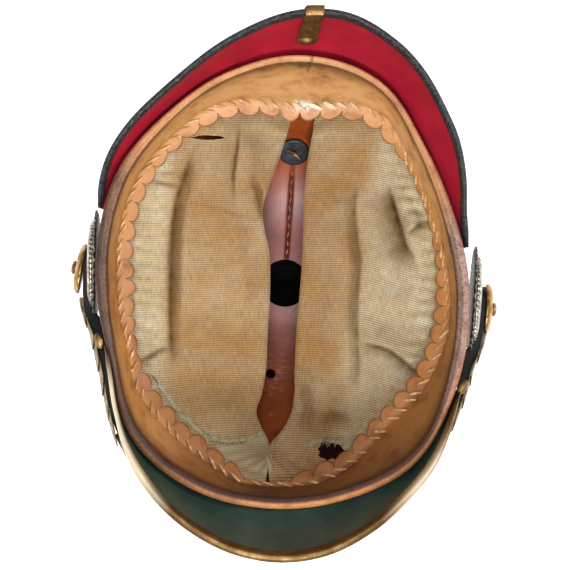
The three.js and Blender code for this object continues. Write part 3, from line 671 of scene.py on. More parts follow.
for face in shell.data.polygons:
    x, y, z = (c / mm for c in face.center)
    half = crown["wall"] / 2
    share = (math.hypot(x, y) / (rimRadius(math.degrees(math.atan2(x, y))) - half)) ** crown["power"]
    share += (max(rimHeight - z, 0) / (crown["height"] - half)) ** crown["power"]
    face.material_index = 1 if share < 1 else 0

for radius, fromAxis, bearing in (
        (shellForm["studRadius"], shellForm["studFromAxis"], shellForm["studBearing"]),
        (shellForm["pinRadius"], shellForm["pinFromAxis"], shellForm["pinBearing"])):
    seat = seatInside(bearing, fromAxis, 0)
    deselect()
    bpy.ops.mesh.primitive_cylinder_add(vertices=32, radius=radius * mm, depth=0.02)
    drill = bpy.context.object
    drill.data.transform(seat)
    drill.data.materials.append(lacquer)
    cutAway(shell, drill)
smooth(shell, 35)

# one stitch, sunk a little into the groove, copied along the seam
deselect()
bpy.ops.mesh.primitive_uv_sphere_add(segments=10, ring_count=6, radius=1)
stitch = bpy.context.object
stitch.data.transform(Matrix.Translation((0, 0, -0.25 * mm))
                      @ Matrix.Diagonal((shellForm["stitchLength"] / 2 * mm, 0.45 * mm, 0.42 * mm, 1)))
stitch.data.materials.append(linenThread)
smooth(stitch, 180)
stitches = []
count = int((shellForm["seamTo"] - shellForm["seamFrom"]) / shellForm["stitchPitch"])
for i in range(count):
    seat = seatInside(shellForm["seamBearing"], shellForm["seamFrom"] + (i + 0.6) * shellForm["stitchPitch"],
                      math.radians(90 + (16 if i % 2 else -10)))
    copy = copied(stitch)
    copy.data.transform(seat)
    stitches.append(copy)
bpy.data.objects.remove(stitch)
shell = joined("shell_leather", [shell] + stitches)
stands(shell, ["shell"])


# sweatband: roll over the rim, wall, and tongues bent in from the lace

print("stage: sweatband")
bandForm = {"thickness": 1.1, "depth": 38.0, "laceDepth": 33.0, "tongues": 54, "perTongue": 14,
            "reach": 8.5, "notch": 0.55, "bareAt": 181.0, "bareSpan": 8.5, "seamX": 3.4, "seamLean": 0.13,
            "seamFoot": 9.0, "holeX": -1.2, "holeDepth": 5.2, "patchX": 1.0, "patchY": 91.0}
chance = random.Random(7)
tongueMoods = [{"lift": chance.uniform(-0.3, 1.1), "long": chance.uniform(-0.4, 0.7),
                "tilt": chance.uniform(-0.5, 0.5)} for _ in range(bandForm["tongues"])]


def bandBend(bearing):
    return min(tipRadius(bearing) + bandForm["reach"], crownInside(bearing, bandForm["laceDepth"]) - 2.4)


def rollSection(bearing):
    rim = rimRadius(bearing)
    fromBack = min(bearing % 360, 360 - bearing % 360)
    squeeze = (1 - 0.4 * math.exp(-((bearing - 238) / 14) ** 2)) * lerp(0.6, 1, ease(fromBack, 25, 70))
    squeeze *= (1 + 0.14 * math.exp(-((bearing - 95) / 24) ** 2)
                - 0.3 * math.exp(-((bearing - 130) / 12) ** 2))
    shape = [(0.35, 0.55), (0.3, 1.1), (0.8, 1.6), (1.7, 1.9), (2.6, 2.0), (3.4, 1.95), (4.2, 1.65),
             (4.9, 1.1), (5.4, 0.3), (5.8, -1.0)]
    return [(rim - inwards * squeeze, rimHeight + up) for inwards, up in shape]


rows = []
columns = bandForm["tongues"] * bandForm["perTongue"]
for column in range(columns + 1):
    bearing = 360 * column / columns
    place = (column % bandForm["perTongue"]) / bandForm["perTongue"]
    mood = tongueMoods[(column // bandForm["perTongue"]) % bandForm["tongues"]]
    roll = rollSection(bearing)
    bend = bandBend(bearing)
    rumple = noise.noise(at(bearing, 100, 0) / (18 * mm))
    wall = []
    for i in range(1, 10):
        share = i / 9
        bow = math.sin(math.pi * share)
        wall.append((lerp(roll[-1][0], bend, share) + bow * (1.0 + 1.2 * rumple),
                     lerp(roll[-1][1], rimHeight - bandForm["laceDepth"], share)))
    bow = math.sqrt(max(1 - (2 * place - 1) ** 2, 0))
    bare = math.exp(-((bearing - bandForm["bareAt"]) / bandForm["bareSpan"]) ** 4)
    end = (1 - bandForm["notch"] * (1 - bow)) * (1 - 0.62 * bare)
    tongue = []
    for i in range(1, 10):
        share = end * i / 9
        lift = mood["lift"] * bow * share ** 2 + mood["tilt"] * (2 * place - 1) * bow * share
        tongue.append((lerp(bend, tipRadius(bearing) - mood["long"] * bow, share),
                       lerp(rimHeight - bandForm["laceDepth"], rimHeight - bandForm["depth"], share)
                       + lift + 0.7 * math.sin(math.pi * share)))
    rows.append([at(bearing, radius, height) for radius, height in roll + wall + tongue])
sweatband = gridPiece("sweatband_leather", [list(line) for line in zip(*rows)])
weld(sweatband)
faceTowards(sweatband, Vector((0, 0, 0.2)))
values, tatters = [], []
for vertex in sweatband.data.vertices:
    x, y, z = (c / mm for c in vertex.co)
    below = rimHeight - z
    across = x - bandForm["seamX"] + (below + 2) * bandForm["seamLean"]
    onSeam = math.exp(-(across / 0.5) ** 2) if y > 60 and below < bandForm["seamFoot"] else 0
    hole = math.exp(-((x - bandForm["holeX"]) / 2.4) ** 2 - ((below - bandForm["holeDepth"]) / 1.1) ** 2)
    values.append(max(onSeam, hole if y > 60 else 0))
    patch = math.exp(-((x - bandForm["patchX"]) / 4.2) ** 4 - ((y - bandForm["patchY"]) / 4.0) ** 4)
    tatters.append(patch if below > 30 else 0)
attribute(sweatband, "seam", values)
attribute(sweatband, "worn", tatters)
applyModifier(sweatband, "SOLIDIFY", thickness=bandForm["thickness"] * mm, offset=-1, use_even_offset=False)
finished(sweatband, calfLeather, 50, ["sweatband"])


# lace: one turned strand, copied round the band

print("stage: lace")
laceForm = {"length": 6.8, "width": 1.25, "height": 0.7, "stand": 0.6, "inwards": 1.2, "drop": 0.8,
            "count": 84, "looseAt": 7.0, "looseSpan": 9.0}
slantAt = curveThrough([(0, 30), (40, 24), (90, 20), (125, 46), (150, 42), (180, 18), (205, 34), (230, 42),
                        (255, 26), (290, 20), (330, 28), (360, 30)])
deselect()
bpy.ops.mesh.primitive_cube_add(size=1)
strand = bpy.context.object
bpy.ops.object.mode_set(mode="EDIT")
bpy.ops.mesh.subdivide(number_cuts=3)
bpy.ops.object.mode_set(mode="OBJECT")
for vertex in strand.data.vertices:
    x, y, z = vertex.co
    narrow = 1 - 0.55 * (2 * x) ** 4
    vertex.co = Vector((x * laceForm["length"], y * laceForm["width"] * narrow,
                        (z * narrow + 0.45 * math.cos(math.pi * x) - 0.25) * laceForm["height"]
                        + 0.25 * x * y)) * mm
applyModifier(strand, "SUBSURF", levels=1, render_levels=1)
strand.data.materials.append(splitCalf)
smooth(strand, 180)
strands = []
for i in range(laceForm["count"]):
    bearing = 360 * (i + chance.uniform(-0.2, 0.2)) / laceForm["count"]
    ahead = at(bearing + 0.5, bandBend(bearing + 0.5), 0) - at(bearing - 0.5, bandBend(bearing - 0.5), 0)
    ahead.normalize()
    inwards = Vector((0, 0, 1)).cross(ahead).normalized()
    if inwards.dot(at(bearing, 1, 0)) > 0:
        inwards.negate()
    down = (inwards * 0.85 + Vector((0, 0, -0.35))).normalized()
    up = (Vector((0, 0, 1)) - down * down.z).normalized()
    slant = math.radians(slantAt(bearing) + chance.uniform(-5, 5))
    long = (ahead * math.cos(slant) + down * math.sin(slant)).normalized()
    seat = Matrix((long, up.cross(long), up)).transposed().to_4x4()
    level = rimHeight - bandForm["laceDepth"] - laceForm["drop"] + 0.5
    seat.translation = at(bearing, bandBend(bearing) - laceForm["inwards"], level)
    seat.translation += up * laceForm["stand"] * mm
    copy = copied(strand)
    loose = math.exp(-(((bearing + 180 - laceForm["looseAt"]) % 360 - 180) / laceForm["looseSpan"]) ** 4)
    wide = chance.uniform(0.8, 1.15) * (1 + 0.9 * loose)
    copy.data.transform(seat @ Matrix.Diagonal((chance.uniform(0.85, 1.15), wide, 1, 1)))
    attribute(copy, "pale", [loose * chance.uniform(0.3, 1.0)] * len(copy.data.vertices))
    strands.append(copy)
bpy.data.objects.remove(strand)
lace = joined("lace_thong", strands)
stands(lace, ["lace"])


# lining: two ribbed panels, hung behind the tongues

print("stage: lining")
linerForm = {"thickness": 0.7, "tuck": 36.0, "dip": 8.0, "sag": 27.0, "columns": 230, "rows": 100,
             "reach": 6.5, "relief": 1.25}
slitEdges = [
    (-86, -3.6, 8.5), (-66, -8.0, 6.2), (-48, -12.8, 5.9), (-37, -14.7, 6.3), (-28, -13.3, 7.0),
    (-17, -9.8, 7.5), (3, -7.4, 8.0), (24, -6.7, 8.0), (45, -5.9, 8.9), (58, -6.9, 9.8), (68, -8.9, 8.6),
    (76, -5.2, 5.0), (82, -1.6, 0.6), (88, 0.8, -2.2),
]
# folds, in mm as seen from above: the cloth steps up to the left of the line, or to its right if rise is
# negative, and takes painted shade as far as low and high on the two sides of the step
folds = [
    {"line": [(-52.4, 64.6), (-55.6, 50.2), (-58.9, 38.4), (-59.8, 25.5), (-59.4, 10.2), (-58.2, -7.7),
              (-56.9, -22.9), (-55.4, -35.6), (-53.3, -49.5)],
     "rise": 8, "face": 3, "reach": 52, "paintedShade": 1.0, "low": 3.0, "high": 7.5},
    {"line": [(-30, 84), (-30.5, 66.5), (-31.4, 53.6), (-29.5, 36)],
     "rise": 3, "face": 2.4, "reach": 12, "paintedShade": 0.65, "low": 2.6, "high": 1.6},
    {"line": [(-84, 49.4), (-76, 46.9), (-67.3, 44.7), (-50, 43.6)],
     "rise": 4, "face": 2.4, "reach": 13, "paintedShade": 0.7, "low": 2.5, "high": 2.0},
    {"line": [(-78, -52), (-70, -46.5), (-61.8, -40.2), (-50, -35)],
     "rise": -3, "face": 2.4, "reach": 14, "paintedShade": 0.75, "low": 2.0, "high": 3.0},
    {"line": [(32.5, 58), (32.4, 40.0), (35.1, 26.1), (37.9, 14.8), (37.8, 0.7), (38.6, -17.1), (41.2, -37.4),
              (41.8, -54.0)],
     "rise": -6, "face": 3, "reach": 30, "paintedShade": 0.72, "low": 1.8, "high": 7.0},
    {"line": [(46, 58), (48.9, 52.3), (54.2, 39.3), (59.5, 25.1), (64.4, 17.8), (68, 13)],
     "rise": 6.5, "face": 3, "reach": 15, "paintedShade": 1.0, "low": 17.0, "high": 1.5},
    {"line": [(82, 40.5), (74, 38.5), (66.3, 36.5), (60.5, 31.0), (56, 24)],
     "rise": -3.5, "face": 2.4, "reach": 9, "paintedShade": 0.85, "low": 6.0, "high": 1.5},
    {"line": [(36, -27.6), (45, -27.4), (55.0, -29.1), (61.8, -33.0), (67.3, -37.0), (80, -44)],
     "rise": 5, "face": 2.6, "reach": 15, "paintedShade": 1.0, "low": 7.0, "high": 1.4},
]
# hollows and ridges of the cloth, with painted shade along some of them
creases = [
    {"line": [(-50.6, 68), (-53.6, 54.2), (-54.6, 34)], "depth": -1.3, "width": 1.5, "paintedShade": 0.3},
    {"line": [(-22, 78), (-23, 60), (-23.5, 42)], "depth": 2.4, "width": 6.0, "paintedShade": 0},
    {"line": [(-22, 56), (-16.9, 43.3), (-14.3, 30.0)], "depth": -2.4, "width": 1.9, "paintedShade": 0.7},
    {"line": [(-29.6, 34), (-19.9, -9.4), (-16.8, -38)], "depth": 1.0, "width": 4.0, "paintedShade": 0},
    {"line": [(-40, -6), (-34, -40), (-32, -72)], "depth": -0.6, "width": 12.0, "paintedShade": 0.2},
    {"line": [(-52, -56), (-34, -62), (-14, -58)], "depth": -1.4, "width": 4.5, "paintedShade": 0.1},
    {"line": [(23, 40), (25, 0), (24, -40)], "depth": 1.0, "width": 5.0, "paintedShade": 0},
    {"line": [(47, 46), (53, 30), (60, 14)], "depth": -2.4, "width": 6.0, "paintedShade": 0.45},
    {"line": [(10.7, -46), (16.5, -57.4), (17.9, -65.0), (15.0, -80)], "depth": -2.6, "width": 2.8,
     "paintedShade": 0.35},
    {"line": [(21, -70), (30.1, -66.2), (44, -67.4)], "depth": -2.6, "width": 3.0, "paintedShade": 0.5},
    {"line": [(48, -8), (56, -20), (60, -34)], "depth": -1.2, "width": 4.0, "paintedShade": 0.05},
    {"line": [(46, 4), (56, -2), (72, -4)], "depth": 1.4, "width": 5.0, "paintedShade": 0},
]
# frayed edges: the foot of the left panel and the edge of the tear in the right one
frayLines = [
    [(-59.3, -57.2), (-53.8, -64.1), (-46.5, -71.6), (-38.1, -78.1), (-30.2, -82.9), (-22, -84),
     (-13, -82.6), (-4, -78)],
    [(18, -82.4), (26, -78.6), (33, -78.6), (45.4, -75.6)],
]


# distance to the left of a line, the way gone along it and the line's length
def besideLine(x, y, line):
    nearest, total = None, 0
    for (startX, startY), (endX, endY) in zip(line, line[1:]):
        aheadX, aheadY = endX - startX, endY - startY
        length = math.hypot(aheadX, aheadY)
        share = ((x - startX) * aheadX + (y - startY) * aheadY) / length ** 2
        share = min(max(share, 0), 1)
        away = math.hypot(x - startX - share * aheadX, y - startY - share * aheadY)
        if nearest is None or away < nearest[0]:
            side = aheadX * (y - startY) - aheadY * (x - startX)
            nearest = (away, away if side > 0 else -away, total + share * length)
        total += length
    return nearest[1], nearest[2], total


# fades a line out towards both its ends
def fading(along, total, longest):
    fade = min(longest, 0.4 * total)
    return ease(along, 0, fade) * ease(total - along, 0, fade)


# height and painted shade that the folds and creases give the cloth at a place
def drape(x, y):
    height, paintedShade = 0, 0
    for fold in folds:
        across, along, total = besideLine(x, y, fold["line"])
        side = across if fold["rise"] > 0 else -across
        half = fold["face"] / 2
        step = ease(side, -half, max(half, fold["high"])) * (1 - ease(side, half, half + fold["reach"]))
        height += abs(fold["rise"]) * step * fading(along, total, 44)
        shadedShare = max(1 - abs(side) / fold["high" if side > 0 else "low"], 0) ** 1.3
        paintedShade = max(paintedShade, fold["paintedShade"] * shadedShare * fading(along, total, 14))
    for crease in creases:
        across, along, total = besideLine(x, y, crease["line"])
        there = math.exp(-(across / crease["width"]) ** 2) * fading(along, total, 12)
        height += crease["depth"] * there
        paintedShade = max(paintedShade, crease["paintedShade"] * there)
    return height * linerForm["relief"], paintedShade


def tuckRadius(bearing):
    share = (linerForm["tuck"] - bandForm["laceDepth"]) / (bandForm["depth"] - bandForm["laceDepth"])
    tongue = tipRadius(bearing) + linerForm["reach"] * (1 - share)
    return min(tongue + 2.9, crownInside(bearing, linerForm["tuck"] + 1.2) - 0.5)


def linerPanel(name, column, firstBearing, lastBearing):
    slitAt = curveThrough([(row[0], row[column]) for row in slitEdges])
    rows = []
    for i in range(linerForm["columns"] + 1):
        place = i / linerForm["columns"]
        bearing = lerp(firstBearing, lastBearing, place)
        outer = at(bearing, tuckRadius(bearing), 0) / mm
        forward = 3 - 84.5 * math.cos(math.pi * place)
        inner = Vector((slitAt(forward), -forward, 0))
        run = (outer - inner).length
        sag = linerForm["sag"] * ease(run, 4, 36)
        row = []
        for j in range(linerForm["rows"] + 1):
            share = (j / linerForm["rows"]) ** 1.1
            point = outer.lerp(inner, share)
            gone = share * run
            hold = ease(gone, 3, 12)
            left = run - gone
            dip = linerForm["dip"] * ease(gone, 0, 5) + sag * share * (2 - share)
            wave = 0.6 * noise.noise(point / 20) + 0.15 * noise.noise(point / 6.5)
            gather = 0.7 * math.sin(bearing * 1.35 + 2 * noise.noise(point / 20)) * ease(gone, 1, 6) * (
                1 - ease(gone, 8, 20))
            roll = 1.4 * (1 - ease(left, 0, 2.2)) ** 2
            beyond = besideLine(point.x, point.y, frayLines[0])[0]
            torn = linerForm["dip"] * 0.2 * (1 - ease(beyond, -1.5, 0))
            torn *= ease(-50 - point.y, 0, 4) * ease(4 - point.x, 0, 4)
            lap = ease(-point.y, 72, 84) * (1 - ease(left, 6, 14)) * (1.4 if column == 2 else -0.6)
            point.z = (rimHeight - linerForm["tuck"] - dip + hold * (drape(point.x, point.y)[0] + wave)
                       + gather - roll - torn + lap)
            row.append(point * mm)
        rows.append(row)
    panel = gridPiece(name, rows)
    faceTowards(panel, Vector((0, 0, 0.4)))
    return panel


# plan coordinates turned so that the ribs run across the picture, 100 mm to the unit
def ribMap(panel):
    turn = math.radians(5)
    layer = panel.data.uv_layers[0].data
    for face in panel.data.polygons:
        for loop in face.loop_indices:
            x, y, z = (c / mm for c in panel.data.vertices[panel.data.loops[loop].vertex_index].co)
            sway = 0.6 * noise.noise(Vector((x / 28, y / 28, 0))) + 0.05 * (z - 80) + 0.22 * max(x - 42, 0)
            layer[loop].uv = ((x * math.cos(turn) + y * math.sin(turn)) / 100,
                              (y * math.cos(turn) - x * math.sin(turn) + sway) / 100)


def paintLiner(panel, browner):
    soil, fray, stain = [], [], []
    for vertex in panel.data.vertices:
        x, y, z = (c / mm for c in vertex.co)
        soil.append(browner(x, y) * (0.75 + 0.5 * noise.noise(Vector((x / 22, y / 22, 3)))))
        patchy = 0.6 + 0.9 * noise.noise(Vector((x / 2.2, y / 2.2, 5)))
        near = min(abs(besideLine(x, y, line)[0]) for line in frayLines)
        pale = 0.85 * patchy * (1 - ease(near, 0.2, 1.3))
        beyond = -besideLine(x, y, frayLines[0])[0]
        under = ease(beyond, 0.3, 1.2) * ease(x, -30, -24) * ease(2 - x, 0, 1.5) * ease(-76 - y, 0, 4)
        blued = 0.7 * math.exp(-((x - 54) / 3.6) ** 4 - ((y - 1.7) / 2.0) ** 4) * patchy
        fray.append(min(max(pale, 0.42 * under, blued, 0), 1))
        # painted shade from the folds and creases, and a painted shadow under the frayed edge
        dark = drape(x, y)[1] * (0.92 + 0.25 * noise.noise(Vector((x / 5, y / 5, 9))))
        shadow = 0.8 * math.exp(-((beyond - 0.7) / 0.7) ** 2) * ease(x, -34, -28)
        shadow *= ease(-12 - x, 0, 3) * ease(-70 - y, 0, 5)
        stain.append(min(max(dark, shadow, 0), 1))
    attribute(panel, "soil", soil)
    attribute(panel, "fray", fray)
    attribute(panel, "stain", stain)


def tearTool(x, y, halfLength, halfWidth, turn, ragged):
    deselect()
    bpy.ops.mesh.primitive_cylinder_add(vertices=40, radius=1, depth=2)
    tool = bpy.context.object
    for vertex in tool.data.vertices:
        angle = math.atan2(vertex.co.y, vertex.co.x)
        jag = 1 + ragged * noise.noise(Vector((math.cos(angle) * 2.5, math.sin(angle) * 2.5, x)))
        along, across = math.cos(angle) * halfLength * jag, math.sin(angle) * halfWidth * jag
        vertex.co = Vector((x + along * math.cos(turn) - across * math.sin(turn),
                            y + along * math.sin(turn) + across * math.cos(turn),
                            95 + vertex.co.z * 30)) * mm
    return tool


linerLeft = linerPanel("lining_left", 1, 356, 180.7)
linerRight = linerPanel("lining_right", 2, 5, 179.3)
cloths = [
    (linerLeft, "liner_left", lambda x, y: ease(x + 0.06 * y, -66, -54) * (1 - 0.25 * ease(y, 40, 70)),
     [(-45.5, 70.6, 8.2, 1.1, math.radians(7), 0.15)]),
    (linerRight, "liner_right", lambda x, y: 1 - ease(x - 0.05 * y, 30, 44),
     [(31.4, -83.2, 6.2, 4.4, math.radians(10), 0.5)]),
]
for cloth, node, browner, tears in cloths:
    ribMap(cloth)
    paintLiner(cloth, browner)
    applyModifier(cloth, "SOLIDIFY", thickness=linerForm["thickness"] * mm, offset=-1)
    for tear in tears:
        cutAway(cloth, tearTool(*tear))
    finished(cloth, repCloth, 60, [node])


# loose threads at the frayed edges: one thread, copied and bent

print("stage: frayed threads")
threadForm = {"radius": 0.18, "sides": 5, "segments": 6}


def clothLevel(panel, x, y):
    hit, place, normal, index = panel.ray_cast(Vector((x * mm, y * mm, 0.3)), Vector((0, 0, -1)))
    return place.z / mm if hit else 88.0


def bentThread(points):
    rows = []
    for i in range(threadForm["segments"] + 1):
        share = i / threadForm["segments"]
        middle = points[0].lerp(points[1], share).lerp(points[1].lerp(points[2], share), share)
        ahead = (points[1].lerp(points[2], share) - points[0].lerp(points[1], share)).normalized()
        side = ahead.cross(Vector((0, 0, 1))).normalized()
        up = side.cross(ahead)
        width = threadForm["radius"] * (1 - 0.5 * share)
        rows.append([(middle + (side * math.cos(a) + up * math.sin(a)) * width) * mm
                     for a in (2 * math.pi * k / threadForm["sides"] for k in range(threadForm["sides"]))])
    thread = gridPiece("thread", rows, loop=True)
    weld(thread, fill=True)
    return thread


threads = {"left": [], "right": []}
fringes = [("left", linerLeft, start, end, count, 3.4)
           for start, end, count in zip(frayLines[0], frayLines[0][1:-1], (12, 14, 16, 16, 20, 16))]
fringes += [("right", linerRight, start, end, count, 4.2)
            for start, end, count in zip(frayLines[1], frayLines[1][1:], (16, 14, 18))]
for side, panel, lineStart, lineEnd, count, reach in fringes:
    for i in range(count):
        share = (i + chance.uniform(0.1, 0.9)) / count
        x, y = lerp(lineStart[0], lineEnd[0], share), lerp(lineStart[1], lineEnd[1], share)
        outwards = Vector((x, y, 0)).normalized()
        start = Vector((x, y, 0)) - outwards * chance.uniform(0.5, 2.5)
        heading = Matrix.Rotation(chance.uniform(-1.0, 1.0), 3, "Z") @ outwards
        middle = start + heading * reach * chance.uniform(0.35, 0.6)
        heading = Matrix.Rotation(chance.uniform(-0.7, 0.7), 3, "Z") @ heading
        end = middle + heading * reach * chance.uniform(0.3, 0.6)
        points = []
        for point, up in ((start, 0.1), (middle, chance.uniform(0.5, 1.3)), (end, chance.uniform(0.2, 0.9))):
            points.append(Vector((point.x, point.y, clothLevel(panel, point.x, point.y) + up)))
        for point in points[1:]:
            point.z = max(point.z, points[0].z - 3)
        threads[side].append(bentThread(points))
for side, pieces in threads.items():
    fringe = joined("frayed_threads_" + side, pieces)
    fringe.data.materials.append(looseThread)
    smooth(fringe, 180)
    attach(fringe, body)


# peaks with their edgings

print("stage: peaks")
rearCurve = curveThrough([(-76, 2.6), (-62, 6.8), (-50, 8.2), (-30, 9.0), (-15, 13.6), (0, 19.2), (8, 20.4),
                          (20, 18.0), (35, 16.8), (45, 15.0), (54, 11.0), (64, 5.6), (76, 2.6)])
frontCurve = curveThrough([(117, 4.0), (126, 5.2), (135, 7.0), (145, 10.0), (155, 16.0), (165, 21.0),
                           (175, 22.8), (185, 21.2), (195, 16.8), (205, 12.0), (213, 7.8), (221, 4.2),
                           (228, 2.6), (246, 2.4)])
frontPeak = {"from": 117, "to": 246, "drop": 28, "reach": frontCurve, "columns": 150, "set": -1.8}
rearPeak = {"from": -73, "to": 74, "drop": 30, "reach": rearCurve, "columns": 160, "set": -1.15}
peakForm = {"leather": 2.5, "rootRise": 6, "edgingReach": 4.2, "edgingMetal": 0.7, "endTuck": 0.9}


# the front peak thins out towards its ends, where the strap lies on it; the rear one is thin all along
def slimness(bearing):
    if bearing < 90:
        return 0.68
    return lerp(1, 0.5, ease(bearing, 210, 226)) * lerp(0.6, 1, ease(bearing, 118, 138))


def peakShape(peak, bearing):
    middle = (peak["from"] + peak["to"]) / 2
    place = min(abs(bearing - middle) / (peak["to"] - middle), 1)
    half = peakForm["leather"] / 2 * (1 - 0.5 * place ** 4) * slimness(bearing)
    rim = rimRadius(bearing)
    toEnd = min(bearing - peak["from"], peak["to"] - bearing)
    tuck = 0.25 * place ** 4 - peakForm["endTuck"] * (1 - ease(toEnd, 0, 5))
    root = Vector((rim + 0.4 + half + tuck, rimHeight - peakForm["rootRise"]))
    edge = Vector((max(rim + peak["reach"](bearing) + peak["set"], root.x),
                   rimHeight + peak["drop"] * (1 - place ** 2.2)))
    bend = Vector((lerp(root.x, edge.x, 0.62), lerp(root.y, edge.y, 0.3)))
    return half, root, bend, edge


# a point beside the peak's middle line: share of the way out, past the edge, towards its underside
def peakPoint(shape, share, past, under):
    half, root, bend, edge = shape
    point = root.lerp(bend, share).lerp(bend.lerp(edge, share), share)
    ahead = bend.lerp(edge, share) - root.lerp(bend, share)
    ahead = ahead.normalized() if ahead.length > 1e-6 else Vector((0, 1))
    return point.x + ahead.x * past - ahead.y * under, point.y + ahead.y * past + ahead.x * under


def peakBearings(peak):
    return [lerp(peak["from"], peak["to"], i / peak["columns"]) for i in range(peak["columns"] + 1)]


# the shell's outside at a depth below the rim, where the peak's root is stitched on
def crownOutside(bearing, depth):
    return rimRadius(bearing) * (1 - (depth / crown["height"]) ** crown["power"]) ** (1 / crown["power"])


def peakLeather(name, peak, underside, node):
    rows = []
    shares = [i / 16 for i in range(17)]
    for bearing in peakBearings(peak):
        shape = peakShape(peak, bearing)
        half = shape[0]
        foot = crownOutside(bearing, 11)
        section = [(foot + 0.5, rimHeight - 11)]
        section += [peakPoint(shape, share, 0, -half) for share in shares]
        section += [peakPoint(shape, 1, 0.25, 0)]
        section += [peakPoint(shape, share, 0, half) for share in reversed(shares)]
        section += [(crownOutside(bearing, 7) + 0.08, rimHeight - 6.6), (foot + 0.08, rimHeight - 11)]
        rows.append([at(bearing, radius, height) for radius, height in section])
    piece = gridPiece(name, rows, loop=True)
    weld(piece, fill=True)
    piece.data.materials.append(lacquer)
    piece.data.materials.append(underside)
    for face in piece.data.polygons:
        face.material_index = 1 if face.normal.x * face.center.x + face.normal.y * face.center.y < 0 else 0
    smooth(piece, 35)
    stands(piece, [node])


def edging(name, peak, material, node, uneven, endReach):
    rows = []
    for bearing in peakBearings(peak):
        shape = peakShape(peak, bearing)
        toEnd = min(bearing - peak["from"], peak["to"] - bearing)
        reach = peakForm["edgingReach"] + endReach * (1 - ease(toEnd, 2, 16))
        inner = (shape[0] + 0.3 * slimness(bearing)) * lerp(0.5, 1, ease(toEnd, 0, 5))
        outer = inner + peakForm["edgingMetal"] * slimness(bearing) * lerp(0.5, 1, ease(toEnd, 0, 5))
        wobble = uneven * noise.noise(at(bearing, 110, 0) / (6 * mm))
        section = [peakPoint(shape, 1, -reach + wobble, -outer), peakPoint(shape, 1, -2.2, -outer - 0.1)]
        for k in range(9):
            angle = math.pi * k / 8
            section.append(peakPoint(shape, 1, -0.3 + 1.75 * math.sin(angle), -outer * math.cos(angle)))
        section += [peakPoint(shape, 1, -2.2, outer + 0.1),
                    peakPoint(shape, 1, -reach + 0.25 + wobble, outer),
                    peakPoint(shape, 1, -reach + wobble, outer - 0.25),
                    peakPoint(shape, 1, -reach + wobble, inner), peakPoint(shape, 1, 0.4, inner),
                    peakPoint(shape, 1, 0.4, -inner), peakPoint(shape, 1, -reach + wobble, -inner)]
        rows.append([at(bearing, radius, height) for radius, height in section])
    piece = gridPiece(name, rows, loop=True)
    weld(piece, fill=True)
    finished(piece, material, 35, [node])


peakLeather("front_peak_leather", frontPeak, greenLeather, "front_peak")
peakLeather("rear_peak_leather", rearPeak, redLeather, "rear_peak")
edging("front_peak_brass_trim", frontPeak, rolledBrass, "front_peak_trim", 0.1, 0)
edging("rear_peak_leather_binding", rearPeak, boundLeather, "rear_peak_binding", 0.5, 5)

rivetForm = {"radius": 2.2, "stand": 2.8, "drop": 1.0, "longer": 0.8}
for side, bearing in (("right", frontPeak["from"] - 1.65), ("left", frontPeak["to"] + 1.75)):
    centre = at(bearing, rimRadius(bearing) + rivetForm["stand"], rimHeight - rivetForm["drop"])
    deselect()
    bpy.ops.mesh.primitive_uv_sphere_add(segments=24, ring_count=14, radius=rivetForm["radius"] * mm,
                                         location=centre)
    rivet = bpy.context.object
    rivet.name = "trim_end_rivet_" + side
    bpy.ops.object.transform_apply(location=True, rotation=True, scale=True)
    ahead = (at(bearing + 1, 1, 0) - at(bearing - 1, 1, 0)).normalized()
    for vertex in rivet.data.vertices:
        away = vertex.co - centre
        vertex.co = centre + away * 1.02 + ahead * away.dot(ahead) * rivetForm["longer"]
    finished(rivet, darkBrass, 180, ["trim_rivet_" + side])


# rear spine: strip down the crown, over the neck guard's edge, clip with its boss underneath

print("stage: spine")
spineForm = {"width": 8.8, "foot": 10.6, "thickness": 1.0, "bearing": 0.6, "lean": 1.3, "onShell": 0.64,
             "onLeather": 1.1, "onBinding": 1.8}
stops = [("crown", 61 - 3 * i, 0, 0) for i in range(19)]
stops += [("peak", i / 14, 0, -1) for i in range(15)]
stops += [("peak", 1, 0.9, -0.93), ("peak", 1, 1.6, -0.7), ("peak", 1, 1.9, -0.3), ("peak", 1, 1.9, 0.3),
          ("peak", 1, 1.6, 0.7), ("peak", 1, 0.9, 0.93)]
stops += [("peak", 1 - 0.045 * i, 0, 1) for i in range(17)]


def spinePoint(stop, bearing, lift):
    kind, value, past, side = stop
    if kind == "crown":
        return crownPoint(bearing, value, -spineForm["onShell"] - lift)
    beyond = past + lift * (1 if past > 0.5 else 0)
    stand = lerp(spineForm["onLeather"], spineForm["onBinding"], ease(value, 0.74, 0.87))
    return peakPoint(peakShape(rearPeak, bearing), value, beyond, side * (stand + lift))


rows = []
for i, stop in enumerate(stops):
    radius = spinePoint(stop, spineForm["bearing"], 0)[0]
    fromEnd = min(len(stops) - 1 - i, i) * 1.5
    rounding = math.sqrt(max(1 - (1 - min(fromEnd / 2.6, 1)) ** 2, 0.25))
    under = 1 - stop[1] if stop[0] == "peak" and stop[3] > 0.5 else 0
    spread = math.degrees(lerp(spineForm["width"], spineForm["foot"], under / 0.72) / 2 / radius) * rounding
    lean = spineForm["lean"] * (0.55 - under / 0.72) * (1 if under or stop[2] else 0.55)
    middle = spineForm["bearing"] + lean
    row = []
    for hand, lift in ((-1, 0), (-0.5, 0), (0.5, 0), (1, 0), (1.0, 0.7), (0.93, 1), (0.4, 1.05),
                       (-0.4, 1.05), (-0.93, 1), (-1.0, 0.7)):
        bearing = middle + hand * spread
        row.append(at(bearing, *spinePoint(stop, bearing, lift * spineForm["thickness"])))
    rows.append(row)
spine = gridPiece("rear_spine_brass", rows, loop=True)
weld(spine, fill=True)
bossBearing = spineForm["bearing"] - 0.4 * spineForm["lean"]
foot = at(bossBearing, *spinePoint(("peak", 0.38, 0, 1), bossBearing, spineForm["thickness"]))
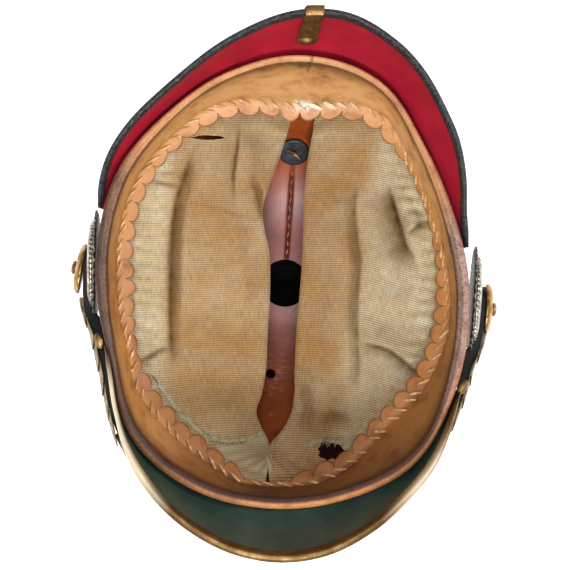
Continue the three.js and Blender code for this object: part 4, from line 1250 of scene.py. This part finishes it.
ahead = at(bossBearing, *spinePoint(("peak", 0.43, 0, 1), bossBearing, 1.0)) - foot
ahead.normalize()
up = ahead.cross(Vector((-1, 0, 0))).normalized()
if up.z < 0:
    up.negate()
bossSeat = Matrix((ahead, up.cross(ahead), up)).transposed().to_4x4()
bossSeat.translation = foot
bossProfile = [(0, -0.4), (3.9, -0.4), (3.95, 0.1), (3.7, 0.45), (3.2, 0.55), (3.0, 0.7), (2.7, 1.1),
               (1.9, 1.5), (0.8, 1.7), (0, 1.75)]
boss = turned("clip_boss", bossProfile, 32, bossSeat @ Matrix.Diagonal((0.68, 1.05, 1, 1)))
spine = joined("rear_spine_brass", [spine, boss])
finished(spine, darkBrass, 35, ["rear_spine"])

pinSeat = seatInside(shellForm["pinBearing"], shellForm["pinFromAxis"], -0.75)
washerProfile = [(1.7, 1.3), (8.0, 1.3), (8.2, 1.6), (8.1, 2.2), (7.6, 2.65), (7.0, 2.7), (2.2, 2.6),
                 (1.7, 2.5), (1.7, 1.3)]
washer = turned("spine_washer_iron", washerProfile, 48, pinSeat)
finished(washer, japanned, 40, ["spine_washer"])

pinForm = {"leg": 4.2, "legWidth": 1.9, "legHeight": 3.35, "shank": 1.15, "shankLength": 6.2}
legs = []
for hand in (-1, 1):
    deselect()
    bpy.ops.mesh.primitive_cube_add(size=1)
    leg = bpy.context.object
    bpy.ops.object.mode_set(mode="EDIT")
    bpy.ops.mesh.subdivide(number_cuts=2)
    bpy.ops.object.mode_set(mode="OBJECT")
    for vertex in leg.data.vertices:
        x, y, z = vertex.co
        along = 0.25 + (x + 0.5) * pinForm["leg"]
        vertex.co = Vector((hand * along, y * (pinForm["legWidth"] - 0.18 * along),
                            pinForm["legHeight"] + z * 0.8 + 0.03 * along ** 2)) * mm
    applyModifier(leg, "BEVEL", width=0.25 * mm, segments=2)
    legs.append(leg)
deselect()
bpy.ops.mesh.primitive_cylinder_add(vertices=20, radius=pinForm["shank"] * mm,
                                    depth=pinForm["shankLength"] * mm, location=(0, 0, 0.2 * mm))
bpy.ops.object.transform_apply(location=True, rotation=True, scale=True)
splitPin = joined("spine_split_pin_brass", [bpy.context.object] + legs)
splitPin.data.transform(pinSeat)
weld(splitPin)
finished(splitPin, darkBrass, 40, ["spine_split_pin"])


# crown base: plate moulded to the crown, hollow neck

print("stage: crown base")
baseForm = {"bore": 13.0, "clear": 0.8}
# the moulded plate: radius, and how far below the crown's clear outside it lies
plateProfile = [(30, 1.7), (36, 1.5), (45, 1.2), (52, 1.2), (55.4, 1.5), (56.6, 1.5), (57.3, 0.9), (57.0, 0),
                (45, 0), (33, 0), (22, 0), (baseForm["bore"], 0)]
rows = []
for i in range(120):
    bearing = 3 * i
    section = [(baseForm["bore"], 21.6), (20, 21.8), (26, 22.2)]
    section += [(radius, crownLevel(bearing, min(radius, 57), 0) - baseForm["clear"] - below)
                for radius, below in plateProfile]
    rows.append([at(bearing, radius, height) for radius, height in section])
plate = gridPiece("crown_base_brass", rows, loop=True, ring=True)
weld(plate)
neckProfile = [(0, 0), (22.2, 0), (23.0, 0.3), (23.4, 1), (23.4, 7.6), (23.8, 8.4), (25.4, 9.4), (26.4, 10.6),
               (26.6, 11.7), (26.4, 12.8), (25.4, 14.0), (24.2, 14.8), (24.0, 15.6), (24.0, 22.4),
               (13, 22.4), (13, 2), (11, 2), (10.4, 2.5), (9.6, 2), (7, 2), (6.4, 2.5), (5.6, 2), (3, 2),
               (2.2, 2.6), (1.2, 2), (0, 2)]
neck = turned("neck", neckProfile, 72, Matrix())
base = joined("crown_base_brass", [plate, neck])
base.data.materials.append(rolledBrass)
base.data.materials.append(ventShade)
# the inside of the neck and the plate's face against the shell take the near-black painted shade
for face in base.data.polygons:
    inside = math.hypot(face.center.x, face.center.y) < 13.2 * mm and face.center.z > 1.5 * mm
    under = face.normal.z > 0.3 and face.center.z > 22 * mm
    face.material_index = 1 if inside or under else 0
smooth(base, 35)
stands(base, ["crown_base"])


# ears: toothed cockade, ring, rosette

print("stage: ears")
earForm = {"teeth": 36, "knurls": 60, "drop": 24.0, "lean": -1.2, "rosetteStand": 6.8}
discProfile = [(0, 0), (20, 0), (24, 0), (26.4, 0.15), (27.3, 0.4), (27.5, 0.75), (27.2, 1.1), (26.2, 1.3),
               (24, 1.4), (20, 1.4), (0, 1.4)]
ringProfile = [(0, 1.8), (21.8, 1.8), (22.4, 1.9), (22.5, 2.3), (22.3, 3.0), (21.4, 3.6), (19.8, 4.1),
               (17, 4.5), (15.4, 4.6), (14.6, 4.4), (13.8, 4.3), (0, 4.3)]
rosetteProfile = [(0, 0), (12.1, 0), (12.6, 0.4), (12.7, 1.0), (12.3, 1.7), (11.1, 2.4), (9.4, 3.0),
                  (7.4, 3.3), (5, 3.5), (3.6, 3.6), (3.2, 3.7), (3.3, 4.1), (3.6, 4.6), (3.4, 5.2),
                  (2.6, 5.7), (1.4, 5.95), (0, 6.0)]
# side, place, turn, how far disc and ring stand out, the rosette's shift along the strap and its tilt
ears = [("right", 93.2, -0.8, 1.4, -0.4, -3.6, 0.0), ("left", -93.9, 0.8, 184.0, -0.3, 2.2, 9.5)]


def toothed(turn, radius, height):
    ripple = math.cos(turn * earForm["teeth"])
    edge = ease(radius, 23, 27.4)
    return radius - 0.65 * (1 - ripple) * edge, height + 0.3 * ripple * edge


def knurled(turn, radius, height):
    return radius - 0.25 * (1 - math.cos(turn * earForm["knurls"])) * ease(radius, 21.5, 22.4), height


def petalled(turn, radius, height):
    lobe = abs(math.cos(turn * 4))
    swell = 0.35 * lobe * ease(radius, 4, 8) * (1 - ease(radius, 10, 12))
    return radius * (1 - 0.06 * (1 - lobe) * ease(radius, 4, 11)), height + swell


for side, x, y, turn, stand, shift, tilt in ears:
    seat = (Matrix.Translation(Vector((x, y, rimHeight - earForm["drop"])) * mm)
            @ Matrix.Rotation(math.radians(turn), 4, "Z")
            @ Matrix.Rotation(math.radians(90 + earForm["lean"]), 4, "Y")
            @ Matrix.Translation((0, 0, stand * mm)))
    disc = turned("cockade_" + side, discProfile, 216, seat, toothed)
    finished(disc, dulledTin, 35, ["cockade_disc_" + side])
    ring = turned("cockade_silver_ring_" + side, ringProfile, 180, seat, knurled)
    finished(ring, silverWash, 35, ["cockade_ring_" + side])
    lift = Matrix.Translation((0, shift * mm, (earForm["rosetteStand"] - stand) * mm))
    lean = Matrix.Rotation(math.radians(tilt), 4, "X")
    rosette = turned("rosette_brass_" + side, rosetteProfile, 96, seat @ lift @ lean, petalled)
    finished(rosette, castBrass, 40, ["rosette_" + side])


# chin strap and its scales

print("stage: chin strap")
strapForm = {"from": 86, "to": 275, "columns": 260, "thickness": 2.0, "width": 15.0, "stand": 2.2,
             "tuck": 3.2, "tuckAlong": 1.0, "swell": 1.0, "drop": 15.0, "offEar": 4.4}
scaleForm = {"count": 12, "start": 99, "pitch": 6.3, "overlap": 1.4, "thickness": 0.5, "arch": 1.3,
             "lift": 0.9, "raised": 2.0, "stand": 0.8, "firstWidth": 19, "lastWidth": 14}
# how far the strap's lower edge flares out on its outer face
strapFlare = {"right": 0.4, "left": 2.0}


def earAngle(bearing):
    return min(abs(bearing - 91), abs(bearing - 269))


def strapRadius(bearing):
    side, x, y, turn, stand, shift, tilt = ears[0 if bearing < 180 else 1]
    out = Vector((math.cos(math.radians(turn)), math.sin(math.radians(turn)), 0))
    face = out.dot(Vector((x, y, 0))) + strapForm["offEar"]
    free = ease(earAngle(bearing), 6, 20)
    loose = rimRadius(bearing) + strapForm["stand"]
    if free == 1:
        return loose
    return lerp(face / (out.dot(at(bearing, 1, 0)) / mm), loose, free)


def strapLevel(bearing):
    return rimHeight - lerp(earForm["drop"], strapForm["drop"], ease(earAngle(bearing), 8, 34))


# the upper edge rests on the rim between the ear and the peak, and leans less beside the peak
def strapTuck(bearing):
    angle = earAngle(bearing)
    return lerp(strapForm["tuck"], strapForm["tuckAlong"], ease(angle, 20, 27)) * ease(angle, 8, 15)


def strapOuter(bearing, up):
    flare = lerp(strapFlare["right"], strapFlare["left"], ease(bearing, 160, 200))
    flare *= ease(earAngle(bearing), 11, 20)
    return strapRadius(bearing) + strapForm["thickness"] + flare * (0.5 - up / strapForm["width"])


rows = []
for i in range(strapForm["columns"] + 1):
    bearing = lerp(strapForm["from"], strapForm["to"], i / strapForm["columns"])
    inner, level, half = strapRadius(bearing), strapLevel(bearing), strapForm["width"] / 2
    toEnd = min(bearing - strapForm["from"], strapForm["to"] - bearing)
    half *= math.sqrt(max(1 - (1 - min(toEnd / 4, 1)) ** 2, 0.06))
    top = inner - strapTuck(bearing)
    swell = strapForm["swell"] * ease(earAngle(bearing), 9, 14)
    groove = min(2.2, 0.3 * half)
    section = [(inner, level - half + 0.4), (top, level + half - 0.4), (top + 0.3, level + half)]
    for up, cut in ((half, 0.3), (half - 0.4, 0), (half - groove + 0.4, 0), (half - groove, 0.25),
                    (half - groove - 0.4, 0), (groove + 0.4 - half, 0), (groove - half, 0.25),
                    (groove - 0.4 - half, 0), (0.4 - half, 0), (-half, 0.3)):
        section.append((strapOuter(bearing, up) + swell - cut, level + up))
    section.append((inner + 0.3, level - half))
    rows.append([at(bearing, radius, height) for radius, height in section])
strap = gridPiece("chin_strap_leather", rows, loop=True)
weld(strap, fill=True)
finished(strap, strapLeather, 40, ["chin_strap"])

for side in ("right", "left"):
    scales = []
    for i in range(scaleForm["count"]):
        start = scaleForm["start"] + i * scaleForm["pitch"]
        length = scaleForm["pitch"] * scaleForm["overlap"]
        width = lerp(scaleForm["firstWidth"], scaleForm["lastWidth"], i / (scaleForm["count"] - 1))
        lift = scaleForm["raised"] if side == "left" and 5 <= i <= 7 else scaleForm["lift"]
        rows = []
        for a in range(11):
            across = a / 10 - 0.5
            row = []
            for b in range(11):
                tip = 1 - 0.42 * abs(2 * across) ** 2.2
                share = b / 10 * tip
                place = start + length * share
                bearing = place if side == "right" else 360 - place
                arch = scaleForm["arch"] * (1 - (2 * across) ** 2)
                radius = strapOuter(bearing, across * width) + scaleForm["stand"] + lift * share + arch
                row.append(at(bearing, radius + scaleForm["thickness"], strapLevel(bearing) + across * width))
            rows.append(row)
        scale = gridPiece("scale", rows)
        scale.data.update()
        outwards = sum(face.normal.dot(Vector((face.center.x, face.center.y, 0)))
                       for face in scale.data.polygons)
        if outwards < 0:
            middle = scale.data.polygons[50].center
            faceTowards(scale, Vector((middle.x * 9, middle.y * 9, 0.1)))
        applyModifier(scale, "SOLIDIFY", thickness=scaleForm["thickness"] * mm, offset=-1)
        scales.append(scale)
    scales = joined("chin_scales_" + side, scales)
    nodes = ["chin_scale_%s_%02d" % (side, i + 1) for i in range(scaleForm["count"])]
    finished(scales, scaleBrass, 40, nodes)


print("stage: finish")
